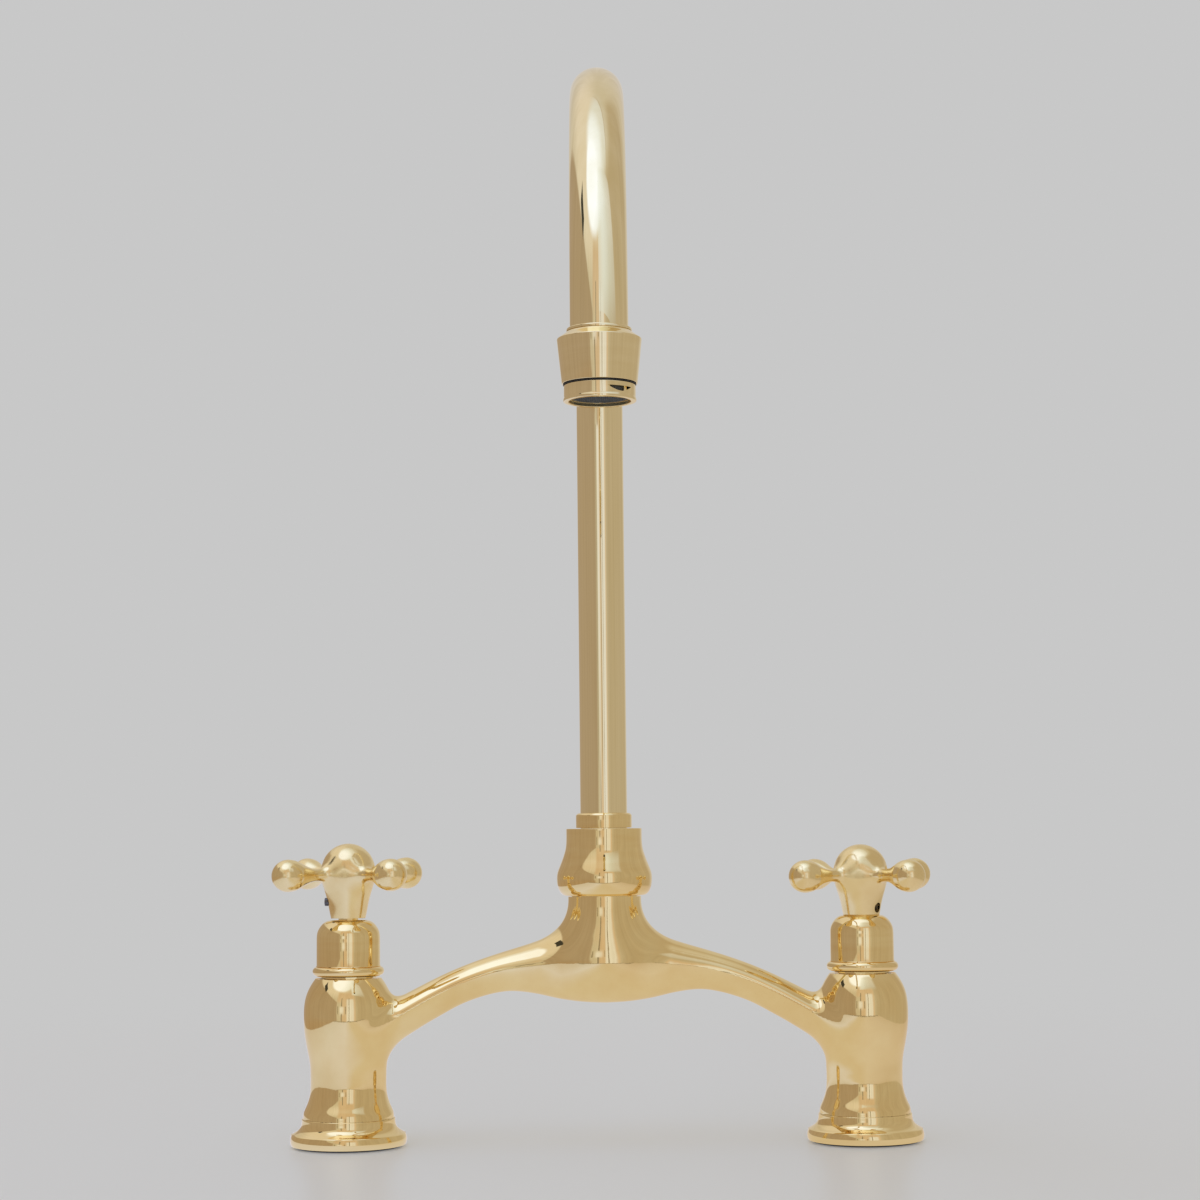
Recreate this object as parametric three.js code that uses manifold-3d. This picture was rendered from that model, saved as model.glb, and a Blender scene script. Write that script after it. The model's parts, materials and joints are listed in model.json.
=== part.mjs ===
// A deck-mounted bridge kitchen faucet in polished brass: two pillar valves with cross handles, one cast
// bridge between them, and a swivelling gooseneck spout that stands on the bridge's middle.
// Millimetres, +Z up, deck at z = 0. X runs from the left (hot) pillar to the right (cold) one, the spout
// reaches towards -Y, and the origin is the middle of the footprint of the whole faucet.
import * as THREE from "three";
import { mergeVertices } from "three/addons/utils/BufferGeometryUtils.js";
import Module from "manifold-3d";

const wasm = await Module();
wasm.setup();

// ---- overall ----
const deckCentres = 203.2; // pillar to pillar, an 8 inch spread
const spoutReach = 216; // column axis to outlet axis
const arcCentreHeight = 276.6; // deck to the gooseneck's centre
const tubeRadius = 9.3;
const tubeWall = 1.2;
const seatGap = 0.3; // between pieces that rest on each other
const boreOverrun = 1; // how far a cutter runs past the face it opens

// ---- deck flange and its gasket ----
const flangeRadius = 22.9;
const flangeHeight = 11; // deck to its top
const flangeRimHeight = 5; // its straight rim, up to the cove
const flangeRimRound = 1.6;
const flangeCoveSpread = 1.4; // how far the cove's middle lies outside the pillar's foot
const gasketThickness = 1.5;
const gasketProud = 0.3; // how far it stands below the flange
const gasketWidth = 7.9;
const flangeLipWidth = 1.7; // of the rim round the gasket

// ---- pillar, part of the bridge casting ----
const pillarHeight = 54.1; // from the flange to the mouth under the bonnet cover
const pillarFootRadius = 17.8;
const pillarWaistRadius = 14.95;
const pillarBellyRadius = 17.55;
const pillarMouthRadius = 13;
const tailRadius = 13.5; // the spigot that the flange is fitted on
const tailLift = 0.6; // from the gasket's top to the spigot's end
const inletSocketRadius = 9.4; // where the supply tail screws in
const inletSocketDepth = 16;
const inletWayRadius = 6.5;

// ---- ceramic disc cartridge ----
const chamberRadius = 9.6;
const chamberDepth = 23.4; // from the pillar's mouth to the valve seat
const cartridgeWall = 1.6;
const sealThickness = 1.7;
const fixedDiscThickness = 2.7;
const movingDiscThickness = 2.8;
const discPortAngle = 70; // degrees of each of the two ports
const discPortInner = 0.28; // shares of the disc's radius
const discPortOuter = 0.78;
const driveKeyWidth = 2.8;
const driveKeyHeight = 0.9;
const driveKeyInset = 2; // from the disc's edge to the key's end
const spindleHeadInset = 1;
const spindleHeadHeight = 2.6;
const outletWindowWidth = 7;
const outletWindowHeight = 4;
const thrustCollarHeight = 2.4;
const thrustCollarRadius = 6.8;
const spindleRadius = 4.8; // where it runs in the cartridge's neck
const spindleWaistRadius = 4;
const cartridgeNeckWall = 1.9;
const cartridgeCollarHeight = 4; // round collar that carries the bonnet cover
const cartridgeHexHeight = 4.3;
const cartridgeHexRadius = 9.8;
const cartridgeNeckDrop = 5.7; // from the cover's top to the neck's end
const stemSealSection = 0.75; // section radius of the spindle's ring
const clipThickness = 0.8;
const clipWidth = 2.3;
const clipGrooveDepth = 0.6;
const clipOpening = 100; // degrees

// ---- bonnet cover ----
const coverLift = 0.9; // the shadow line over the pillar
const coverHeight = 21.7;
const coverRadius = 12.5;
const coverWall = 1.2;
const coverBeadRadius = 14.1;
const coverBeadHeight = 3.7;
const coverFlatRadius = 9; // flat on top, round the spindle
const coverRoundHeight = 6.5;
const coverHoleClearance = 0.5; // round the foot of the handle

// ---- cross handle ----
const handleFootRadius = 6.8;
const handleArmHeight = 17.15; // handle's foot to the plane of its arms
const handleWaistRadius = 8.5;
const handleWaistHeight = 8.1;
const handleDomeRadius = 10.6;
const handleHeight = 29.35;
const handleArmLength = 28.7; // axis to the middle of a ball
const handleBallRadius = 6.4;
const handleArmRadius = 2.4; // at its thinnest
const handleArmRootRadius = 4.3;
const handleBoreDepth = 12;
const handleShaftRadius = 3.9; // the end of the spindle in the handle
// Each handle as it is fitted and stands when shut. Lift: from the cover's top to its foot. Turns: degrees
// from +X, to the nearest arm and to the grub screw. Reach: from the handle's axis to the screw's outer end.
const leftHandle = {
  lift: 0.95, turn: 40.9, screwTurn: 180, screwHeight: 6.4, screwRadius: 1.6, screwReach: 9.3,
};
const rightHandle = {
  lift: -1.4, turn: 35, screwTurn: -38, screwHeight: 4.4, screwRadius: 2, screwReach: 6.4,
};

// ---- bridge casting ----
const hubBottom = 54.8;
const hubDepth = 15.2; // half its depth at the column
const hubHeight = 36.4; // its underside to where the neck leaves it
const armRootDistance = 26; // column's axis to where an arm leaves the hub
const armRootHeight = 14.1; // hub's underside to the arm's middle there
const armEndDistance = 21.6; // pillar's axis to where an arm meets it
const armEndDrop = 14.1; // pillar's mouth to the arm's middle there
const armJointDrop = 2; // how much lower its middle lies inside the pillar
const armJointHalfHeight = 13.6;
const armJointHalfDepth = 11;
const bridgeWayRadius = 4.4;
const mixingChamberRadius = 8.5;
const mixingChamberFloor = 61;
const neckRadius = 14.45;
const neckShoulder = 96.5; // deck to the face under the nut
const noseHeight = 15.5; // threaded nose over that face
const noseRadius = 13;
const spigotBoreFloor = 78;

// ---- spout swivel ----
const spigotRadius = 9.9;
const spigotWayRadius = 6;
const spigotFootLift = 2; // off the floor of its bore
const spigotSealSection = 1.1; // section radius of its two rings
const spigotLowerSeal = 7; // above the spigot's foot
const spigotSealPitch = 12;
const thrustWasherThickness = 1;
const spigotFlangeThickness = 2.2;
const spigotFlangeRadius = 12.6;
const spigotStubHeight = 8; // that the tube is brazed over
const slipRingThickness = 1.2;
const nutHeight = 26.4;
const nutTopRadius = 15;
const nutBellyRadius = 18.85;
const nutFootRadius = 14.7;
const nutFootFlare = 2.6;
const nutBoreClearance = 0.45;
const ferruleRadius = 11.1;
const ferruleHeight = 5.8;
const ferruleChamfer = 0.8;

// ---- outlet ----
const legLength = 4.9; // straight end of the tube below the gooseneck's centre
const outletCollarRise = 4.4; // gooseneck's centre to the collar's top
const outletCollarHeight = 17.6;
const outletCollarTopRadius = 10.3;
const outletCollarRadius = 13.5;
const outletCollarFootRadius = 12;
const outletCollarSlope = 3.5; // height of its sloping shoulder
const outletCollarSwell = 1.6; // height of the shoulder's steeper top
const outletLipThickness = 1.2;
const outletLipWidth = 1.2;
const outletThreadRadius = 10.6;
const outletWasherThickness = 0.4;
const outletWasherRadius = 11.7;
const aeratorRadius = 11.4;
const aeratorHeight = 4.9;
const aeratorMouthRadius = 9.8;
const aeratorMouthDepth = 1.2;
const aeratorWall = 1;
const aeratorSpigotHeight = 6.1;
const aeratorLipWidth = 0.5;
const aeratorLipThickness = 0.4;
const aeratorNotchWidth = 7; // the slot for a key
const aeratorNotchHeight = 1.2;
const aeratorNotchDepth = 1;
const aeratorNotchTurn = -58; // degrees from +X
const insertHeight = 7.7;
const insertNose = 0.7;
const insertHoleRadius = 1.1;
const insertHoleCircle = 5.2;
const insertHoleCount = 8;
const screenHeight = 2.2;
const screenRim = 0.8;

const degrees = THREE.MathUtils.degToRad;

// ---- facets ----
const fineSides = 20;
const plainSides = 16;
const smallSides = 12;

// ---- heights that follow ----
const flangeBottom = gasketProud;
const gasketSeat = gasketThickness + seatGap;
const tailEnd = gasketThickness + tailLift;
const pillarFoot = flangeHeight + seatGap;
const pillarTop = pillarFoot + pillarHeight;
const valveSeat = pillarTop - chamberDepth;
const sealBottom = valveSeat + seatGap;
const fixedDiscBottom = sealBottom + sealThickness + seatGap;
const movingDiscBottom = fixedDiscBottom + fixedDiscThickness + seatGap;
const spindleBottom = movingDiscBottom + movingDiscThickness + seatGap;
const windowBottom = spindleBottom;
const thrustCollarBottom = spindleBottom + spindleHeadHeight + outletWindowHeight / 2;
const cartridgeStep = thrustCollarBottom + thrustCollarHeight + seatGap;
const coverBottom = pillarTop + coverLift;
const coverTop = coverBottom + coverHeight;
const cartridgeNeckTop = coverTop - cartridgeNeckDrop;
const lowestHandleFoot = coverTop + Math.min(leftHandle.lift, rightHandle.lift);
const spindleTop = lowestHandleFoot + handleBoreDepth - seatGap;
const noseTop = neckShoulder + noseHeight;
const thrustWasherBottom = noseTop + seatGap;
const spigotFlangeBottom = thrustWasherBottom + thrustWasherThickness + seatGap;
const spigotFlangeTop = spigotFlangeBottom + spigotFlangeThickness;
const tubeBottom = spigotFlangeTop + seatGap;
const nutShoulder = tubeBottom + slipRingThickness + seatGap;
const nutBottom = neckShoulder + seatGap;
const nutTop = nutBottom + nutHeight;
const ferruleBottom = nutTop + seatGap;
const tubeEnd = arcCentreHeight - legLength;
const outletCollarTop = arcCentreHeight + outletCollarRise;
const outletCollarBottom = outletCollarTop - outletCollarHeight;
const outletLipTop = tubeEnd - seatGap;
const outletLipBottom = outletLipTop - outletLipThickness;
const outletWasherBottom = outletCollarBottom - seatGap - outletWasherThickness;
const aeratorShoulder = outletWasherBottom - seatGap;
const aeratorBottom = aeratorShoulder - aeratorHeight;
const aeratorLipTop = aeratorBottom + aeratorMouthDepth + aeratorLipThickness;
const insertBottom = aeratorLipTop + seatGap;
const screenBottom = insertBottom + insertHeight + seatGap;

// ---- widths that follow ----
const halfCentres = deckCentres / 2;
const arcRadius = spoutReach / 2;
const flangeBore = tailRadius + seatGap;
const gasketOuter = flangeRadius - flangeLipWidth - seatGap;
const cartridgeOuter = chamberRadius - seatGap;
const cartridgeInner = cartridgeOuter - cartridgeWall;
const discRadius = cartridgeInner - seatGap;
const spindleBore = spindleRadius + seatGap;
const cartridgeNeckRadius = spindleBore + cartridgeNeckWall;
const coverInner = coverRadius - coverWall;
const cartridgeCollarRadius = coverInner - seatGap;
const handleBore = handleShaftRadius + seatGap;
const coverHole = handleFootRadius + coverHoleClearance;
const spigotBore = spigotRadius + seatGap;
const nutThreadRadius = noseRadius + seatGap;
const tubeSocket = tubeRadius + seatGap;
const aeratorSpigotRadius = outletThreadRadius - seatGap;
const aeratorBore = aeratorSpigotRadius - aeratorWall;
const insertRadius = aeratorBore - seatGap;
const handleReaches = [leftHandle, rightHandle].map(({ turn }) => {
  const furthest = Math.max(Math.abs(Math.sin(degrees(turn))), Math.abs(Math.cos(degrees(turn))));
  return handleArmLength * furthest + handleBallRadius;
});
const handleReach = Math.max(...handleReaches); // behind the column
const columnPlace = (spoutReach + outletCollarRadius - handleReach) / 2; // Y of pillars and column

// ---- materials ----
function metal(color, roughness) {
  return new THREE.MeshStandardMaterial({ color, roughness, metalness: 1 });
}
function plastic(color, roughness) {
  return new THREE.MeshStandardMaterial({ color, roughness, metalness: 0 });
}
const polishedBrass = () => metal(0xdfbd74, 0.08);
const turnedBrass = () => metal(0xc7a558, 0.35);
const steel = () => metal(0x5b5d60, 0.4);
const rubber = () => plastic(0x1b1b1c, 0.8);
const nylon = () => plastic(0xe6e1d3, 0.5);
const ceramic = () => plastic(0xf1efe9, 0.25);
const darkPlastic = () => plastic(0x26282b, 0.55);

// ---- shape helpers ----

// A turned solid about Z. The profile's [radius, height] points run anticlockwise, up its outer side.
function turned(profile, sides = fineSides) {
  const points = profile.map(([r, z]) => new THREE.Vector2(r, z));
  return new THREE.LatheGeometry(points, sides).rotateX(Math.PI / 2);
}

function turnedRing(profile, sides = fineSides) {
  return turned([...profile, profile[0]], sides);
}

function rod(radius, bottom, top, sides = fineSides) {
  return turned([[0, bottom], [radius, bottom], [radius, top], [0, top]], sides);
}

function washer(inner, outer, bottom, top, sides = fineSides) {
  return turnedRing([[inner, bottom], [outer, bottom], [outer, top], [inner, top]], sides);
}

// Points on a smooth line through [radius, height] points.
function smoothLine(points, steps) {
  const curve = new THREE.SplineCurve(points.map(([r, z]) => new THREE.Vector2(r, z)));
  return curve.getPoints(steps).map((p) => [p.x, p.y]);
}

// Points on a round corner: the quarter-style arc from one angle to another, in degrees.
function roundCorner(centreR, centreZ, radiusR, radiusZ, from, to, steps) {
  return Array.from({ length: steps + 1 }, (_, i) => {
    const angle = degrees(from + ((to - from) * i) / steps);
    return [centreR + radiusR * Math.cos(angle), centreZ + radiusZ * Math.sin(angle)];
  });
}

// A skin over rings of points that each run anticlockwise about the way of travel.
function loft(rings, closed = false) {
  const around = rings[0].length;
  const index = [];
  const strips = closed ? rings.length : rings.length - 1;
  for (let i = 0; i < strips; i++) {
    const here = i * around;
    const next = ((i + 1) % rings.length) * around;
    for (let j = 0; j < around; j++) {
      const k = (j + 1) % around;
      index.push(here + j, here + k, next + k, here + j, next + k, next + j);
    }
  }
  if (!closed) {
    const last = (rings.length - 1) * around;
    for (let j = 1; j < around - 1; j++) {
      index.push(0, j + 1, j, last, last + j, last + j + 1);
    }
  }
  const geometry = new THREE.BufferGeometry().setFromPoints(rings.flat());
  geometry.setIndex(index);
  return geometry;
}

function solid(geometry) {
  const bare = geometry.clone();
  bare.deleteAttribute("normal");
  bare.deleteAttribute("uv");
  const merged = mergeVertices(bare);
  const vertProperties = Float32Array.from(merged.attributes.position.array);
  const triVerts = Uint32Array.from(merged.index.array);
  return new wasm.Manifold(new wasm.Mesh({ numProp: 3, vertProperties, triVerts }));
}

function skin(made) {
  const mesh = made.getMesh();
  const geometry = new THREE.BufferGeometry();
  geometry.setAttribute("position", new THREE.BufferAttribute(mesh.vertProperties, 3));
  geometry.setIndex(new THREE.BufferAttribute(mesh.triVerts, 1));
  geometry.computeVertexNormals();
  return geometry;
}

// One solid out of geometries that are joined, then others that are cut away.
function carved(joined, cut = []) {
  const body = joined.map(solid).reduce((sum, next) => sum.add(next));
  return skin(cut.map(solid).reduce((rest, next) => rest.subtract(next), body));
}

function piece(group, name, geometry, material) {
  const mesh = new THREE.Mesh(geometry, material);
  mesh.name = name;
  group.add(mesh);
}

// ---- bridge casting: both pillars, the arms, the hub and the neck are one piece ----

function pillarProfile() {
  const at = (share, radius) => [radius, pillarFoot + share * pillarHeight];
  const swell = smoothLine([
    at(0.03, pillarFootRadius),
    at(0.1, pillarFootRadius - 1.6),
    at(0.2, pillarWaistRadius),
    at(0.38, pillarWaistRadius + 0.15),
    at(0.6, pillarBellyRadius - 0.25),
    at(0.76, pillarBellyRadius),
    at(0.88, pillarBellyRadius - 1.1),
    at(1, pillarMouthRadius),
  ], 13);
  return [[0, tailEnd], [tailRadius, tailEnd], [tailRadius, pillarFoot], [pillarFootRadius, pillarFoot],
    ...swell, [0, pillarTop]];
}

// Ovals across the bridge from the column to a pillar: [x, middle height, half height, half depth].
function bridgeStations() {
  const jointMiddle = pillarTop - armEndDrop;
  // shares of the neck's radius, of the hub's height at its top and underside, and of its depth
  const hub = [
    [0, 1, 0, 1],
    [0.62, 1, 0.01, 0.97],
    [1.01, 0.985, 0.035, 0.91],
    [1.18, 0.92, 0.05, 0.86],
    [1.38, 0.8, 0.065, 0.8],
    [1.59, 0.725, 0.08, 0.73],
  ].map(([out, top, under, deep]) => [out * neckRadius, hubBottom + (hubHeight * (top + under)) / 2,
    (hubHeight * (top - under)) / 2, deep * hubDepth]);
  // share of the free span, share of the fall to the pillar, half height, half depth
  const arm = [
    [0, 0, 10.6, 10.3],
    [0.11, 0.04, 9, 8.9],
    [0.24, 0.08, 8.05, 8.1],
    [0.41, 0.21, 7.3, 7.6],
    [0.59, 0.42, 7.5, 7.5],
    [0.77, 0.69, 8, 7.6],
    [0.89, 0.88, 8.4, 8.1],
    [1, 1, 10.1, 9.2],
  ].map(([along, fall, halfHeight, halfDepth]) => [
    THREE.MathUtils.lerp(armRootDistance, halfCentres - armEndDistance, along),
    THREE.MathUtils.lerp(hubBottom + armRootHeight, jointMiddle, fall), halfHeight, halfDepth]);
  // inside the pillar, shares of its belly radius
  const joint = [0.89, 0.52].map((out) => [halfCentres - out * pillarBellyRadius, jointMiddle - armJointDrop,
    armJointHalfHeight, armJointHalfDepth]);
  return [...hub, ...arm, ...joint];
}

function bridgeSpan(side) {
  const rings = bridgeStations().map(([x, middle, halfHeight, halfDepth]) => {
    return Array.from({ length: plainSides }, (_, j) => {
      const angle = (2 * Math.PI * j) / plainSides;
      const y = side * halfDepth * Math.cos(angle);
      return new THREE.Vector3(side * x, y, middle + halfHeight * Math.sin(angle));
    });
  });
  return loft(rings);
}

function bridgeWay() {
  const stations = bridgeStations().slice(3);
  const halfLine = stations.map(([x, middle]) => new THREE.Vector3(x, 0, middle));
  const mirrored = halfLine.map((p) => new THREE.Vector3(-p.x, 0, p.z)).reverse();
  const path = new THREE.CatmullRomCurve3([...mirrored, ...halfLine]);
  const section = new THREE.Shape().absarc(0, 0, bridgeWayRadius, 0, 2 * Math.PI);
  return new THREE.ExtrudeGeometry(section, { extrudePath: path, steps: 18, curveSegments: 8 });
}

function pillarBores() {
  const socketTop = tailEnd + inletSocketDepth;
  return [
    rod(inletSocketRadius, tailEnd - boreOverrun, socketTop),
    rod(inletWayRadius, socketTop - boreOverrun, valveSeat + boreOverrun, smallSides),
    rod(chamberRadius, valveSeat, pillarTop + boreOverrun),
  ];
}

function makeBridgeBody() {
  const neckFoot = hubBottom + hubHeight / 2;
  const neck = turned([[0, neckFoot], [neckRadius, neckFoot], [neckRadius, neckShoulder],
    [noseRadius, neckShoulder], [noseRadius, noseTop], [0, noseTop]]);
  const pillars = [-1, 1].map((side) => turned(pillarProfile()).translate(side * halfCentres, 0, 0));
  const bores = [-1, 1].flatMap((side) => pillarBores().map((b) => b.translate(side * halfCentres, 0, 0)));
  const hubBores = [
    rod(spigotBore, spigotBoreFloor, noseTop + boreOverrun),
    rod(mixingChamberRadius, mixingChamberFloor, spigotBoreFloor + boreOverrun, plainSides),
  ];
  return carved([neck, bridgeSpan(1), bridgeSpan(-1), ...pillars], [...bores, ...hubBores, bridgeWay()]);
}

// ---- deck flange, gasket and bonnet cover ----

function makeFlange() {
  const cove = smoothLine([
    [flangeRadius - flangeRimRound, flangeRimHeight],
    [pillarFootRadius + flangeCoveSpread, flangeRimHeight + 0.45 * (flangeHeight - flangeRimHeight)],
    [pillarFootRadius, flangeHeight],
  ], 4);
  return turnedRing([
    [flangeRadius - flangeLipWidth, flangeBottom],
    [flangeRadius, flangeBottom],
    ...roundCorner(flangeRadius - flangeRimRound, flangeRimHeight - flangeRimRound,
      flangeRimRound, flangeRimRound, 0, 70, 3),
    ...cove,
    [flangeBore, flangeHeight],
    [flangeBore, gasketSeat],
    [flangeRadius - flangeLipWidth, gasketSeat],
  ]);
}

function makeGasket() {
  return washer(gasketOuter - gasketWidth, gasketOuter, 0, gasketThickness);
}

function makeBonnetCover() {
  const roundStart = coverTop - coverRoundHeight;
  const roundOf = (thick, from, to, steps) => roundCorner(coverFlatRadius - thick, roundStart,
    coverRadius - coverFlatRadius, coverRoundHeight - thick, from, to, steps);
  const beadMiddle = coverBottom + coverBeadHeight / 2;
  const bead = roundCorner(coverBeadRadius - coverBeadHeight / 2, beadMiddle,
    coverBeadHeight / 2, coverBeadHeight / 2, -90, 70, 4);
  return turnedRing([
    [coverInner, coverBottom],
    ...bead,
    [coverRadius, coverBottom + coverBeadHeight],
    ...roundOf(0, 0, 90, 4),
    [coverHole, coverTop],
    [coverHole, coverTop - coverWall],
    ...roundOf(coverWall, 90, 0, 2),
  ]);
}

// ---- ceramic disc valve ----

function makeCartridgeBody() {
  const collarBottom = pillarTop + seatGap;
  const collarTop = collarBottom + cartridgeCollarHeight;
  const hexTop = collarTop + cartridgeHexHeight;
  const shell = turnedRing([
    [cartridgeInner, fixedDiscBottom],
    [cartridgeOuter, fixedDiscBottom],
    [cartridgeOuter, collarBottom],
    [cartridgeCollarRadius, collarBottom],
    [cartridgeCollarRadius, collarTop],
    [cartridgeNeckRadius, collarTop],
    [cartridgeNeckRadius, cartridgeNeckTop],
    [spindleBore, cartridgeNeckTop],
    [spindleBore, cartridgeStep],
    [cartridgeInner, cartridgeStep],
  ], plainSides);
  const hex = rod(cartridgeHexRadius, collarTop - boreOverrun, hexTop, 6);
  const hexBore = rod(spindleBore, collarTop - 2 * boreOverrun, hexTop + boreOverrun, plainSides);
  const window = new THREE.BoxGeometry(4 * cartridgeOuter, outletWindowWidth, outletWindowHeight);
  window.translate(0, 0, windowBottom + outletWindowHeight / 2);
  return carved([shell, hex], [hexBore, window]);
}

function discPort(turn) {
  const half = degrees(discPortAngle / 2);
  const inner = discRadius * discPortInner;
  const outer = discRadius * discPortOuter;
  const port = new THREE.Path();
  port.absarc(0, 0, outer, turn - half, turn + half, false);
  port.absarc(0, 0, inner, turn + half, turn - half, true);
  port.closePath();
  return port;
}

function portedDisc(thickness, portTurn, bottom) {
  const outline = new THREE.Shape().absarc(0, 0, discRadius, 0, 2 * Math.PI);
  outline.holes = [discPort(portTurn), discPort(portTurn + Math.PI)];
  const disc = new THREE.ExtrudeGeometry(outline, { depth: thickness, bevelEnabled: false, curveSegments: 6 });
  return disc.translate(0, 0, bottom);
}

function makeMovingDisc() {
  const keyway = new THREE.BoxGeometry(2 * discRadius + boreOverrun, driveKeyWidth + 2 * seatGap,
    2 * (driveKeyHeight + seatGap) - seatGap);
  keyway.translate(0, 0, movingDiscBottom + movingDiscThickness);
  return carved([portedDisc(movingDiscThickness, Math.PI / 2, movingDiscBottom)], [keyway]);
}

function makeSeatSeal() {
  return washer(inletWayRadius, cartridgeOuter, sealBottom, sealBottom + sealThickness, plainSides);
}

const stemSealHeight = (cartridgeStep + cartridgeNeckTop) / 2;
const clipBottom = cartridgeNeckTop + seatGap;

function makeSpindle() {
  const grooveHalf = stemSealSection + seatGap;
  const groove = spindleRadius - 2 * stemSealSection - seatGap;
  const clipGroove = handleShaftRadius - clipGrooveDepth;
  const headTop = spindleBottom + spindleHeadHeight;
  const stem = turned([
    [0, spindleBottom],
    [discRadius - spindleHeadInset, spindleBottom],
    [discRadius - spindleHeadInset, headTop],
    [spindleWaistRadius, headTop],
    [spindleWaistRadius, thrustCollarBottom],
    [thrustCollarRadius, thrustCollarBottom],
    [thrustCollarRadius, thrustCollarBottom + thrustCollarHeight],
    [spindleRadius, thrustCollarBottom + thrustCollarHeight],
    [spindleRadius, stemSealHeight - grooveHalf],
    [groove, stemSealHeight - grooveHalf],
    [groove, stemSealHeight + grooveHalf],
    [spindleRadius, stemSealHeight + grooveHalf],
    [spindleRadius, cartridgeNeckTop],
    [handleShaftRadius, cartridgeNeckTop],
    [handleShaftRadius, clipBottom - seatGap / 2],
    [clipGroove, clipBottom - seatGap / 2],
    [clipGroove, clipBottom + clipThickness + seatGap],
    [handleShaftRadius, clipBottom + clipThickness + seatGap],
    [handleShaftRadius, spindleTop],
    [0, spindleTop],
  ], smallSides);
  const key = new THREE.BoxGeometry(2 * (discRadius - driveKeyInset), driveKeyWidth, 2 * driveKeyHeight);
  key.translate(0, 0, spindleBottom);
  return carved([stem, key]);
}

function makeStemSeal() {
  const middle = spindleRadius - stemSealSection;
  return new THREE.TorusGeometry(middle, stemSealSection, 5, smallSides).translate(0, 0, stemSealHeight);
}

function makeClip() {
  const gap = degrees(clipOpening / 2);
  const inner = handleShaftRadius - clipGrooveDepth + seatGap;
  const outline = new THREE.Shape();
  outline.absarc(0, 0, inner + clipWidth, gap, 2 * Math.PI - gap, false);
  outline.absarc(0, 0, inner, 2 * Math.PI - gap, gap, true);
  outline.closePath();
  const settings = { depth: clipThickness, bevelEnabled: false, curveSegments: 8 };
  const clip = new THREE.ExtrudeGeometry(outline, settings);
  return clip.translate(0, 0, clipBottom);
}

// ---- cross handle, in its own frame: axis Z, one arm along +X ----

function handleArm() {
  const ball = roundCorner(handleArmLength, 0, handleBallRadius, handleBallRadius, 140, 0, 6);
  const flare = smoothLine([
    [0.3 * handleArmLength, handleArmRootRadius],
    [0.52 * handleArmLength, handleArmRadius],
    [0.68 * handleArmLength, 1.3 * handleArmRadius],
    ball[0],
  ], 4).slice(0, -1);
  // along X the outline is [distance, radius], so it turns about X instead of Z
  const along = [[0, 0], [0, handleArmRootRadius], ...flare, ...ball].map(([s, r]) => [Math.max(r, 0), -s]);
  along[along.length - 1][0] = 0;
  return turned(along.reverse(), smallSides).rotateY(-Math.PI / 2);
}

function handleHub() {
  const domeMiddle = handleHeight - handleDomeRadius;
  const body = smoothLine([
    [handleFootRadius, 0],
    [handleWaistRadius, handleWaistHeight],
    [0.98 * handleDomeRadius, 0.8 * handleArmHeight],
    [handleDomeRadius, domeMiddle],
  ], 5);
  const dome = roundCorner(0, domeMiddle, handleDomeRadius, handleDomeRadius, 0, 90, 5).slice(1, -1);
  return turned([[0, 0], ...body, ...dome, [0, handleHeight]]);
}

function screwRod(screw, radius, inner, outer) {
  const along = rod(radius, inner, outer, smallSides).rotateY(Math.PI / 2);
  return along.translate(0, 0, screw.screwHeight).rotateZ(degrees(screw.screwTurn));
}

function makeHandle(fitted) {
  const arms = [0, 1, 2, 3].map((i) => {
    return handleArm().translate(0, 0, handleArmHeight).rotateZ((i * Math.PI) / 2 + degrees(fitted.turn));
  });
  const bore = rod(handleBore, -boreOverrun, handleBoreDepth, plainSides);
  const screwHole = screwRod(fitted, fitted.screwRadius + seatGap, 0, handleDomeRadius + boreOverrun);
  return carved([handleHub(), ...arms], [bore, screwHole]).translate(0, 0, coverTop + fitted.lift);
}

function makeSetScrew(fitted) {
  const { screwRadius, screwReach } = fitted;
  const screw = screwRod(fitted, screwRadius, handleBore, screwReach);
  const key = screwRod(fitted, screwRadius / 2, screwReach - screwRadius, screwReach + boreOverrun);
  return carved([screw], [key]).translate(0, 0, coverTop + fitted.lift);
}

function addValve(group, hand, fitted) {
  piece(group, `${hand}_base_flange`, makeFlange(), polishedBrass());
  piece(group, `${hand}_base_gasket`, makeGasket(), rubber());
  piece(group, `${hand}_bonnet_cover`, makeBonnetCover(), polishedBrass());
  piece(group, `${hand}_cartridge_body`, makeCartridgeBody(), turnedBrass());
  piece(group, `${hand}_seat_seal`, makeSeatSeal(), rubber());
  piece(group, `${hand}_fixed_disc`, portedDisc(fixedDiscThickness, 0, fixedDiscBottom), ceramic());
  piece(group, `${hand}_moving_disc`, makeMovingDisc(), ceramic());
  piece(group, `${hand}_spindle`, makeSpindle(), turnedBrass());
  piece(group, `${hand}_spindle_seal`, makeStemSeal(), rubber());
  piece(group, `${hand}_retaining_clip`, makeClip(), steel());
  piece(group, `${hand}_handle`, makeHandle(fitted), polishedBrass());
  piece(group, `${hand}_set_screw`, makeSetScrew(fitted), steel());
}

// ---- spout swivel ----

function makeSpoutNut() {
  const at = (share, radius) => [radius, nutBottom + share * nutHeight];
  const ogee = smoothLine([
    at(0, nutFootRadius),
    at(0.04, nutFootRadius + nutFootFlare),
    at(0.16, nutBellyRadius - 0.3),
    at(0.26, nutBellyRadius),
    at(0.38, nutBellyRadius - 0.5),
    at(0.52, nutTopRadius + 1.6),
    at(0.7, nutTopRadius + 0.1),
    at(1, nutTopRadius),
  ], 14);
  const bore = tubeRadius + nutBoreClearance;
  return turnedRing([[nutThreadRadius, nutBottom], ...ogee, [bore, nutTop], [bore, nutShoulder],
    [nutThreadRadius, nutShoulder]]);
}

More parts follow.
